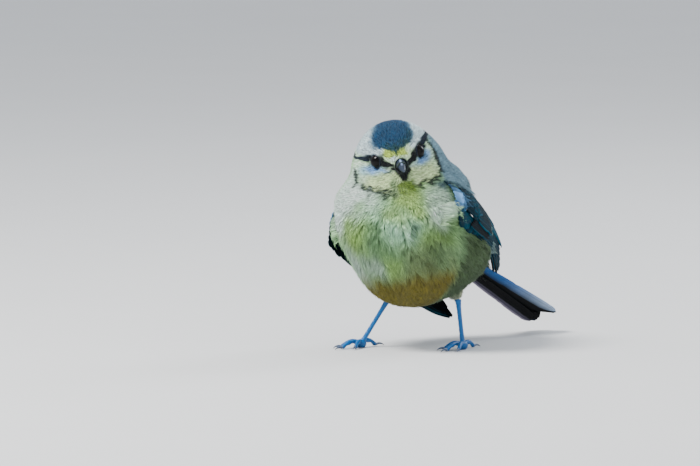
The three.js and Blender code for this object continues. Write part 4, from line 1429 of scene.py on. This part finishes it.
class TIT_OT_wings(bpy.types.Operator):
    """Lays the feathers of both folded wings, tier by tier"""

    bl_idname = "tit.wings"
    bl_label = "Wings"

    def execute(self, context):
        pattern = vane_pattern()
        small = vane_pattern(10, 6)
        thickness = mm("vane_thickness")
        for word, _ in SIDES:
            place = wing_sheet(*WINGS[word])
            node = f"wing_{word}"
            for tier in TIERS:
                rng = np.random.default_rng(sizes().seed + len(tier["name"]))
                made = []
                for i in range(tier["count"]):
                    share = i / (tier["count"] - 1)
                    root = np.add(tier["root"][0], np.subtract(tier["root"][1], tier["root"][0]) * share)
                    tip = np.add(tier["tip"][0], np.subtract(tier["tip"][1], tier["tip"][0]) * share)
                    tip = tip + rng.normal(0, 0.22, 2)
                    top = tier["rise"][0] + (tier["rise"][1] - tier["rise"][0]) * share + 0.25
                    tuck = TUCK[word] * (1 - share) ** 1.4 if tier["name"] == "primaries" else 0
                    if tuck:
                        tip = tip * [TUCKED_REACH, 1]
                    reach = tier["reach"][i] if "reach" in tier else 1
                    made.append(
                        vane_copy(
                            pattern, f"{tier['name']}_{i}", place, root, (tip[0] * reach, tip[1]),
                            tier["width"] * rng.uniform(0.95, 1.05),
                            top, thickness, rng, rise_tip=top - tuck, lead=tier["lead"], point=tier["point"],
                            paint_vane=wing_paint(tier["name"], share, rng),
                        )
                    )
                piece = joined(made, f"{tier['name']}_{word}")
                alone(piece)
                bpy.ops.object.shade_smooth_by_angle(angle=radians(50))
                stand_for(piece, "wing_feathers", vane_material("Vane"), node)
            made = []
            rng = np.random.default_rng(sizes().seed + 5)
            for row in range(LESSER_ROWS):
                for i in range(LESSER_COUNT):
                    share = (i + 0.5 * (row % 2)) / (LESSER_COUNT - 0.5)
                    v = -10.4 + 19.6 * share + rng.normal(0, 0.2)
                    u = -4.0 + 2.1 * row - 1.3 * (1 - (2 * share - 1) ** 2) + rng.normal(0, 0.2)
                    bowl = 1 - ((max(u, -2) + 2 - 11) / 14) ** 2 - ((v - 1.5) / 9.5) ** 2
                    top = 0.6 + 3.1 * sqrt(max(bowl, 0.02)) + 0.25
                    bend = ((u + 3.8) / 4) ** 2 + ((v + 1) / 3) ** 2
                    made.append(
                        vane_copy(
                            small, f"lesser_{row}_{i}", place, (u, v), (u + 5.2, v + 0.2), 3.1,
                            top - 0.35, thickness, rng, rise_tip=top + 0.3, point=0.16, camber=0.35,
                            paint_vane=wing_paint("lesser", 1.3 * exp(-(bend**1.4)), rng),
                        )
                    )
            piece = joined(made, f"lesser_coverts_{word}")
            alone(piece)
            bpy.ops.object.shade_smooth_by_angle(angle=radians(50))
            stand_for(piece, "wing_feathers", vane_material("Vane"), node)
        for made in (pattern, small):
            bpy.data.objects.remove(made)
        return {"FINISHED"}


# Tail

FORK = (47, 48, 49, 50, 50, 48.5)  # lengths from the middle pair outwards
TAIL_STEP = 0.17
TAIL_HALF_WIDTH = 8.5
TAIL_FEATHER = 5.6


def tail_place(u, v, h):
    return placed(TAIL, np.stack([v, u, h - v * v / 60], 1))


def tail_paint(pair, side, rng):
    dark, blue, pale = colour("tail_dark"), colour("tail_blue"), colour("wing_white")
    tone = 1 + 0.1 * rng.normal()

    def shades(t, s):
        outer = soft(s * side, 0.45, 0.8)
        made = mixed(np.tile(dark, (len(t), 1)), blue * 0.25, outer * 0.6)
        if pair == 5 and side > 0:
            band = mixed(np.tile(blue, (len(t), 1)), pale * [0.5, 0.62, 0.85], soft(t, 0.35, 0.95))
            made = mixed(made, band, soft(s, -0.22, -0.02))
        elif pair == 5:
            made = mixed(made, pale * [0.24, 0.2, 0.27], soft(-s, 0.45, 0.8))
        return made * tone

    return shades


class TIT_OT_tail(bpy.types.Operator):
    """Lays the twelve feathers of the closed tail"""

    bl_idname = "tit.tail"
    bl_label = "Tail"

    def execute(self, context):
        pattern = vane_pattern()
        made = []
        for pair, length in enumerate(FORK):
            for side in (1, -1):
                rng = np.random.default_rng(sizes().seed + 40 + pair * 2 + (side > 0))
                share = (pair + 0.5) / len(FORK)
                reach = length / 50 * mm("tail_length")
                broad = pair == 5 and side > 0
                width = TAIL_FEATHER * (1.4 if broad else 1)
                lead = 0.73 if broad else 0.5 + side * 0.12
                tip = (reach, side * (TAIL_HALF_WIDTH - TAIL_FEATHER / 2) * share)
                under = -TAIL_STEP * (2 * pair + (side < 0)) + 0.25
                made.append(
                    vane_copy(
                        pattern, f"tail_{pair}_{side}", tail_place, (0, side * 3 * share), tip, width, under,
                        0.2, rng, lead=lead, point=0.07, camber=0.1, splits=3, blunt=0.8,
                        paint_vane=tail_paint(pair, side, rng),
                    )
                )
        piece = joined(made, "tail_feathers")
        alone(piece)
        bpy.ops.object.shade_smooth_by_angle(angle=radians(50))
        stand_for(piece, "tail_feathers", vane_material("Vane"), "tail")
        bpy.data.objects.remove(pattern)
        return {"FINISHED"}


# Eyes, bill, legs and claws


def give_values(mesh, values, name):
    layer = mesh.attributes.new(name=name, type="FLOAT", domain="POINT")
    layer.data.foreach_set("value", np.asarray(values, np.float32))


class TIT_OT_eyes(bpy.types.Operator):
    """Sets the two eyes in their sockets, with their lids"""

    bl_idname = "tit.eyes"
    bl_label = "Eyes"

    def execute(self, context):
        radius = mm("eye_radius")
        for word, sign in SIDES:
            centre = box_centre(f"eye_{word}")
            facing = unit(HEAD[:3, :3] @ (EYE_FACING * [sign, 1, 1]))
            turn = Vector((0, 0, 1)).rotation_difference(Vector(facing)).to_matrix()
            eye = from_primitive(
                bpy.ops.mesh.primitive_uv_sphere_add, f"eyeball_{word}", segments=48, ring_count=32,
                radius=radius * MM,
            )
            local = points_of(eye)
            angle = np.degrees(np.arccos(np.clip(unit(local)[:, 2], -1, 1)))
            cornea = 1 + 0.06 * np.exp(-((angle / 34) ** 2))
            move_points(eye, (local * cornea[:, None]) @ np.array(turn).T + centre)
            give_values(eye.data, angle / 100, "from_pupil")
            alone(eye)
            bpy.ops.object.shade_smooth()
            stand_for(eye, "eye", eye_material(), f"eye_{word}")
            lids = from_primitive(
                bpy.ops.mesh.primitive_torus_add, f"lids_{word}", major_segments=56, minor_segments=14,
                major_radius=(radius * 0.91) * MM, minor_radius=0.23 * MM,
            )
            local = points_of(lids)
            around = np.arctan2(local[:, 1], local[:, 0])
            local[:, 2] += 0.82 - 0.12 * np.cos(2 * around)
            local[:, :2] *= (1 - 0.03 * np.cos(2 * around))[:, None]
            move_points(lids, local @ np.array(turn).T + centre)
            give_colours(lids.data, np.tile(colour("stripe") * 0.8, (len(local), 1)))
            alone(lids)
            bpy.ops.object.shade_smooth()
            stand_for(lids, "pale_feathers", scale_material("Lids and legs"))
        return {"FINISHED"}


class TIT_OT_bill(bpy.types.Operator):
    """Shapes the two mandibles of the bill from their frame"""

    bl_idname = "tit.bill"
    bl_label = "Bill"

    def execute(self, context):
        for node in ("bill_upper", "bill_lower"):
            piece = merged_copy(node, f"mandible_{node[5:]}")
            finished_by(piece, "REMESH", mode="VOXEL", voxel_size=0.09 * MM)
            finished_by(piece, "SMOOTH", factor=0.5, iterations=5)
            local = seen_from(HEAD, points_of(piece)) - BILL_ROOT
            ahead = np.clip(-local[:, 1] / 9, 0, 1)
            # Painted highlight: a narrow strip along the top of the upper mandible, facing up, over the
            # middle of its length, is painted pale.
            upward = (normals_of(piece) @ HEAD[:3, :3])[:, 2]
            narrow = soft(0.45 - np.abs(local[:, 0]), 0, 0.25)
            run = soft(ahead, 0.1, 0.3) * (1 - soft(ahead, 0.5, 0.7)) * (node == "bill_upper")
            give_values(piece.data, soft(upward, 0.2, 0.6) * narrow * run, "ridge")
            alone(piece)
            bpy.ops.object.shade_smooth()
            material = horn_material("Bill horn", colour("bill"), colour("horn_pale_and_highlight"))
            stand_for(piece, "bill_horn", material, node)
        return {"FINISHED"}


LEGS = {
    "left": dict(heel=[16, 7, 1.4], ankle=[12.3, 10.5, 16.8], heading=-8),
    "right": dict(heel=[-18, -4, 1.4], ankle=[-10.5, 1.5, 16.5], heading=-16),
}
TOES = [
    dict(name="hallux", heading=178, length=0.7, claw=1.15),
    dict(name="inner", heading=27, length=0.74, claw=0.8),
    dict(name="middle", heading=0, length=1, claw=0.95),
    dict(name="outer", heading=-24, length=0.78, claw=0.8),
]
MIDDLE_TOE, CLAW_LENGTH, TOE_RADIUS, TOE_ARCH, TIP_HEIGHT, TARSUS_WIDTH = 9.6, 4, 0.78, 2.9, 0.6, 1.6


def swept(name, points, up, section, sides=28, rings=90):
    """A tube round a curve: a cylinder whose rings are moved along it. section gives its half sizes."""
    obj = from_primitive(
        bpy.ops.mesh.primitive_cylinder_add, name, vertices=sides, radius=1, depth=1, end_fill_type="TRIFAN",
    )
    bpy.ops.object.mode_set(mode="EDIT")
    bpy.ops.mesh.select_all(action="DESELECT")
    bpy.ops.object.mode_set(mode="OBJECT")
    for edge in obj.data.edges:
        a, b = (obj.data.vertices[k].co for k in edge.vertices)
        edge.select = abs(a.z - b.z) > 0.5
    bpy.ops.object.mode_set(mode="EDIT")
    bpy.ops.mesh.select_mode(type="EDGE")
    bpy.ops.mesh.subdivide(number_cuts=rings - 1)
    bpy.ops.object.mode_set(mode="OBJECT")
    local = points_of(obj) * MM
    t = np.clip(local[:, 2] + 0.5, 0, 1)
    centre = curve_through(points, t)
    onward, behind = np.clip(t + 0.004, 0, 1), np.clip(t - 0.004, 0, 1)
    along = unit(curve_through(points, onward) - curve_through(points, behind))
    side = unit(np.cross(along, np.array(up, float)))
    lift = np.cross(side, along)
    turn = np.arctan2(local[:, 1], local[:, 0])
    reach = np.hypot(local[:, 0], local[:, 1])[:, None]
    wide, high = section(t, turn)
    place = centre + (side * (np.cos(turn) * wide)[:, None] + lift * (np.sin(turn) * high)[:, None]) * reach
    move_points(obj, place)
    alone(obj)
    bpy.ops.object.mode_set(mode="EDIT")
    bpy.ops.mesh.select_all(action="SELECT")
    bpy.ops.mesh.normals_make_consistent(inside=False)
    bpy.ops.object.mode_set(mode="OBJECT")
    return obj, t, turn


def plates(t, turn, count, rise):
    """The step of a row of overlapping plates down the front of a leg or along a toe."""
    phase = (t * count) % 1
    front = np.clip(np.sin(turn) * 1.4, 0, 1)
    slope = (1 - phase) ** 0.6 * soft(phase, 0, 0.1)
    return rise * front * (slope - 0.6 * np.exp(-((phase - 1) / 0.06) ** 2))


class TIT_OT_legs(bpy.types.Operator):
    """Shapes both bare legs with their plates and toes"""

    bl_idname = "tit.legs"
    bl_label = "Legs and toes"

    def execute(self, context):
        for word, sign in SIDES:
            leg = LEGS[word]
            heel, ankle = SHIFT + leg["heel"], SHIFT + leg["ankle"]
            pieces = []

            def tarsus(t, turn):
                flare = 0.5 * np.exp(-t * 9) + 0.42 * np.exp((t - 1) * 9)
                half = TARSUS_WIDTH / 2 + flare + plates(t, turn, 8, 0.13)
                return half * 0.86, half * 1.08

            line = [ankle, (ankle + heel) / 2, heel]
            pieces.append(swept(f"tarsus_tube_{word}", line, (0, -1, 0), tarsus)[0])
            pad = from_primitive(
                bpy.ops.mesh.primitive_uv_sphere_add, f"pad_{word}", segments=24, ring_count=16,
                radius=1.0 * MM,
            )
            move_points(pad, points_of(pad) * [1.75, 2.0, 1.66] + heel)
            pieces.append(pad)
            for toe in TOES:
                heading = radians(leg["heading"] - sign * toe["heading"])
                ahead = np.array([sin(heading), -cos(heading), 0])
                reach = toe["length"] * MIDDLE_TOE
                ground = heel * [1, 1, 0]
                line = [
                    ground + [0, 0, 1.5],
                    ground + ahead * reach * 0.32 + [0, 0, TOE_ARCH * 0.8],
                    ground + ahead * reach * 0.66 + [0, 0, TOE_ARCH * 0.72],
                    ground + ahead * reach + [0, 0, TIP_HEIGHT],
                ]
                joints = 3 if toe["name"] == "middle" else 2

                def section(t, turn, joints=joints):
                    bulge = 0.09 * np.cos(t * joints * 2 * pi) * soft(t, 0, 0.15)
                    under = 0.1 * np.clip(-np.sin(turn), 0, 1) * np.cos(t * joints * 2 * pi)
                    half = TOE_RADIUS * (1.05 - 0.2 * t) + plates(t, turn, 10, 0.1) + bulge * 0.6 + under
                    close = np.sqrt(np.clip(1 - ((t - 0.93) / 0.07).clip(0) ** 2, 0.05, 1))
                    return half * close * 0.96, half * 0.95 * close

                pieces.append(swept(f"toe_{word}_{toe['name']}", line, (0, 0, 1), section)[0])
            whole = joined(pieces, f"leg_{word}")
            finished_by(whole, "REMESH", mode="VOXEL", voxel_size=0.13 * MM)
            finished_by(whole, "SMOOTH", factor=0.5, iterations=2)
            points = points_of(whole)
            points[:, 2] = np.maximum(points[:, 2], 0.0)
            move_points(whole, points)
            base = np.tile(colour("leg"), (len(points), 1))
            # Random darker mottling, and painted shade that darkens the toes and foot towards the floor.
            sunk = soft(ripple(points, 1.1, 61), -0.2, 1) * 0.25
            base = mixed(base, colour("leg") * 0.45, sunk + 0.55 * soft(2.2 - points[:, 2], 0, 2.2))
            base = mixed(base, colour("leg") * 0.6, soft(np.abs(points[:, 2] - ankle[2]), 1.5, 0.0) * 0.3)
            give_colours(whole.data, base)
            alone(whole)
            bpy.ops.object.shade_smooth()
            stand_for(whole, "leg_scales", scale_material("Lids and legs"), f"tarsus_{word}", f"foot_{word}")
        return {"FINISHED"}


class TIT_OT_claws(bpy.types.Operator):
    """Shapes the eight curved claws"""

    bl_idname = "tit.claws"
    bl_label = "Claws"

    def execute(self, context):
        for word, sign in SIDES:
            leg = LEGS[word]
            heel = SHIFT + leg["heel"]
            for toe in TOES:
                heading = radians(leg["heading"] - sign * toe["heading"])
                ahead = np.array([sin(heading), -cos(heading), 0])
                start = toe["length"] * MIDDLE_TOE + 0.05
                reach = toe["claw"] * CLAW_LENGTH + 0.25
                ground = heel * [1, 1, 0]
                line = [
                    ground + ahead * start + [0, 0, TIP_HEIGHT + 0.05],
                    ground + ahead * (start + reach * 0.35) + [0, 0, TIP_HEIGHT + 0.32],
                    ground + ahead * (start + reach * 0.68) + [0, 0, TIP_HEIGHT + 0.05],
                    ground + ahead * (start + reach * 0.88) + [0, 0, 0.12],
                ]

                def section(t, turn):
                    half = 0.5 + (0.05 - 0.5) * t**1.15
                    return half * 0.78 * (1 - 0.25 * np.clip(-np.sin(turn), 0, 1)), half

                name = f"claw_{word}_{toe['name']}"
                claw, t, turn = swept(f"horn_{word}_{toe['name']}", line, (0, 0, 1), section, 16, 26)
                points = points_of(claw)
                points[:, 2] = np.maximum(points[:, 2], 0.02)
                move_points(claw, points)
                # The claw is paler towards its root, and its top, facing up, carries a painted highlight.
                give_values(claw.data, (1 - t) * 0.35 + 0.2 * np.clip(np.sin(turn), 0, 1), "ridge")
                alone(claw)
                bpy.ops.object.shade_smooth_by_angle(angle=radians(60))
                material = horn_material("Claw horn", colour("claw"), colour("horn_pale_and_highlight"))
                stand_for(claw, "claw_horn", material, name)
        return {"FINISHED"}


# Stage

CAMERA_TURN, CAMERA_RISE = 28, 5  # degrees round from straight ahead, and up
CAMERA_AWAY = 2.5
FRAME_WIDTH = 0.245  # how much the picture takes in at the bird
AIM = (-29.97, -12.01, 38.1)


def soft_light(name, energy, size, place, target, tint=(1, 1, 1)):
    light = bpy.data.lights.new(name, "AREA")
    light.shape, light.size, light.energy, light.color = "DISK", size, energy, tint
    obj = bpy.data.objects.new(name, light)
    obj.location = place
    obj.rotation_euler = (Vector(target) - Vector(place)).to_track_quat("-Z", "Y").to_euler()
    bpy.context.scene.collection.objects.link(obj)
    return obj


class TIT_OT_stage(bpy.types.Operator):
    """Adds the floor, the soft lights and the camera"""

    bl_idname = "tit.stage"
    bl_label = "Floor, lights and camera"

    def execute(self, context):
        floor = from_primitive(bpy.ops.mesh.primitive_plane_add, "floor", size=6)
        floor.data.materials.append(floor_material())
        scene = context.scene
        world = bpy.data.worlds.new("Studio")
        world.use_nodes = True
        back = world.node_tree.nodes["Background"]
        back.inputs["Color"].default_value = (0.86, 0.9, 0.96, 1)
        back.inputs["Strength"].default_value = 1.0
        scene.world = world
        middle = (0, -0.015, 0.045)
        soft_light("key", 21.5, 0.45, (-0.35, -0.6, 0.95), middle, (1, 0.98, 0.94))
        soft_light("fill", 1.6, 0.9, (0.9, -0.5, 0.4), middle, (0.9, 0.95, 1))
        soft_light("rim", 4.0, 0.4, (0.3, 0.8, 0.6), middle, (0.95, 0.98, 1))
        azimuth, elevation = radians(CAMERA_TURN), radians(CAMERA_RISE)
        target = Vector(AIM) * MM
        back = Vector((sin(azimuth) * cos(elevation), -cos(azimuth) * cos(elevation), sin(elevation)))
        camera = bpy.data.cameras.new("camera")
        camera.sensor_width = 36
        camera.lens = camera.sensor_width * CAMERA_AWAY / FRAME_WIDTH
        camera.clip_start, camera.clip_end = 0.1, 20
        obj = bpy.data.objects.new("camera", camera)
        obj.location = target + back * CAMERA_AWAY
        obj.rotation_euler = (-back).to_track_quat("-Z", "Y").to_euler()
        scene.collection.objects.link(obj)
        scene.camera = obj
        return {"FINISHED"}


class TIT_PT_panel(bpy.types.Panel):
    """Lists the pieces of the bird in the order they are made"""

    bl_idname = "TIT_PT_panel"
    bl_label = "Blue tit"
    bl_space_type = "VIEW_3D"
    bl_region_type = "UI"
    bl_category = "Blue tit"

    def draw(self, context):
        for step in STEPS:
            self.layout.operator(step.bl_idname)
        for heading, group in (("Sizes", context.scene.tit_sizes), ("Colours", context.scene.tit_colours)):
            self.layout.label(text=heading)
            for name in group.__annotations__:
                self.layout.prop(group, name)


STEPS = (
    TIT_OT_skin, TIT_OT_coat, TIT_OT_wings, TIT_OT_tail, TIT_OT_eyes,
    TIT_OT_bill, TIT_OT_legs, TIT_OT_claws, TIT_OT_stage,
)
CLASSES = (TitSizes, TitColours, *STEPS, TIT_PT_panel)


def register():
    for made in CLASSES:
        bpy.utils.register_class(made)
    bpy.types.Scene.tit_sizes = PointerProperty(type=TitSizes)
    bpy.types.Scene.tit_colours = PointerProperty(type=TitColours)


def unregister():
    del bpy.types.Scene.tit_colours
    del bpy.types.Scene.tit_sizes
    for made in reversed(CLASSES):
        bpy.utils.unregister_class(made)


def main():
    register()
    bpy.ops.tit.skin()
    bpy.ops.tit.coat()
    bpy.ops.tit.wings()
    bpy.ops.tit.tail()
    bpy.ops.tit.eyes()
    bpy.ops.tit.bill()
    bpy.ops.tit.legs()
    bpy.ops.tit.claws()
    bpy.ops.tit.stage()
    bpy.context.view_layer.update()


if __name__ == "__main__":
    main()
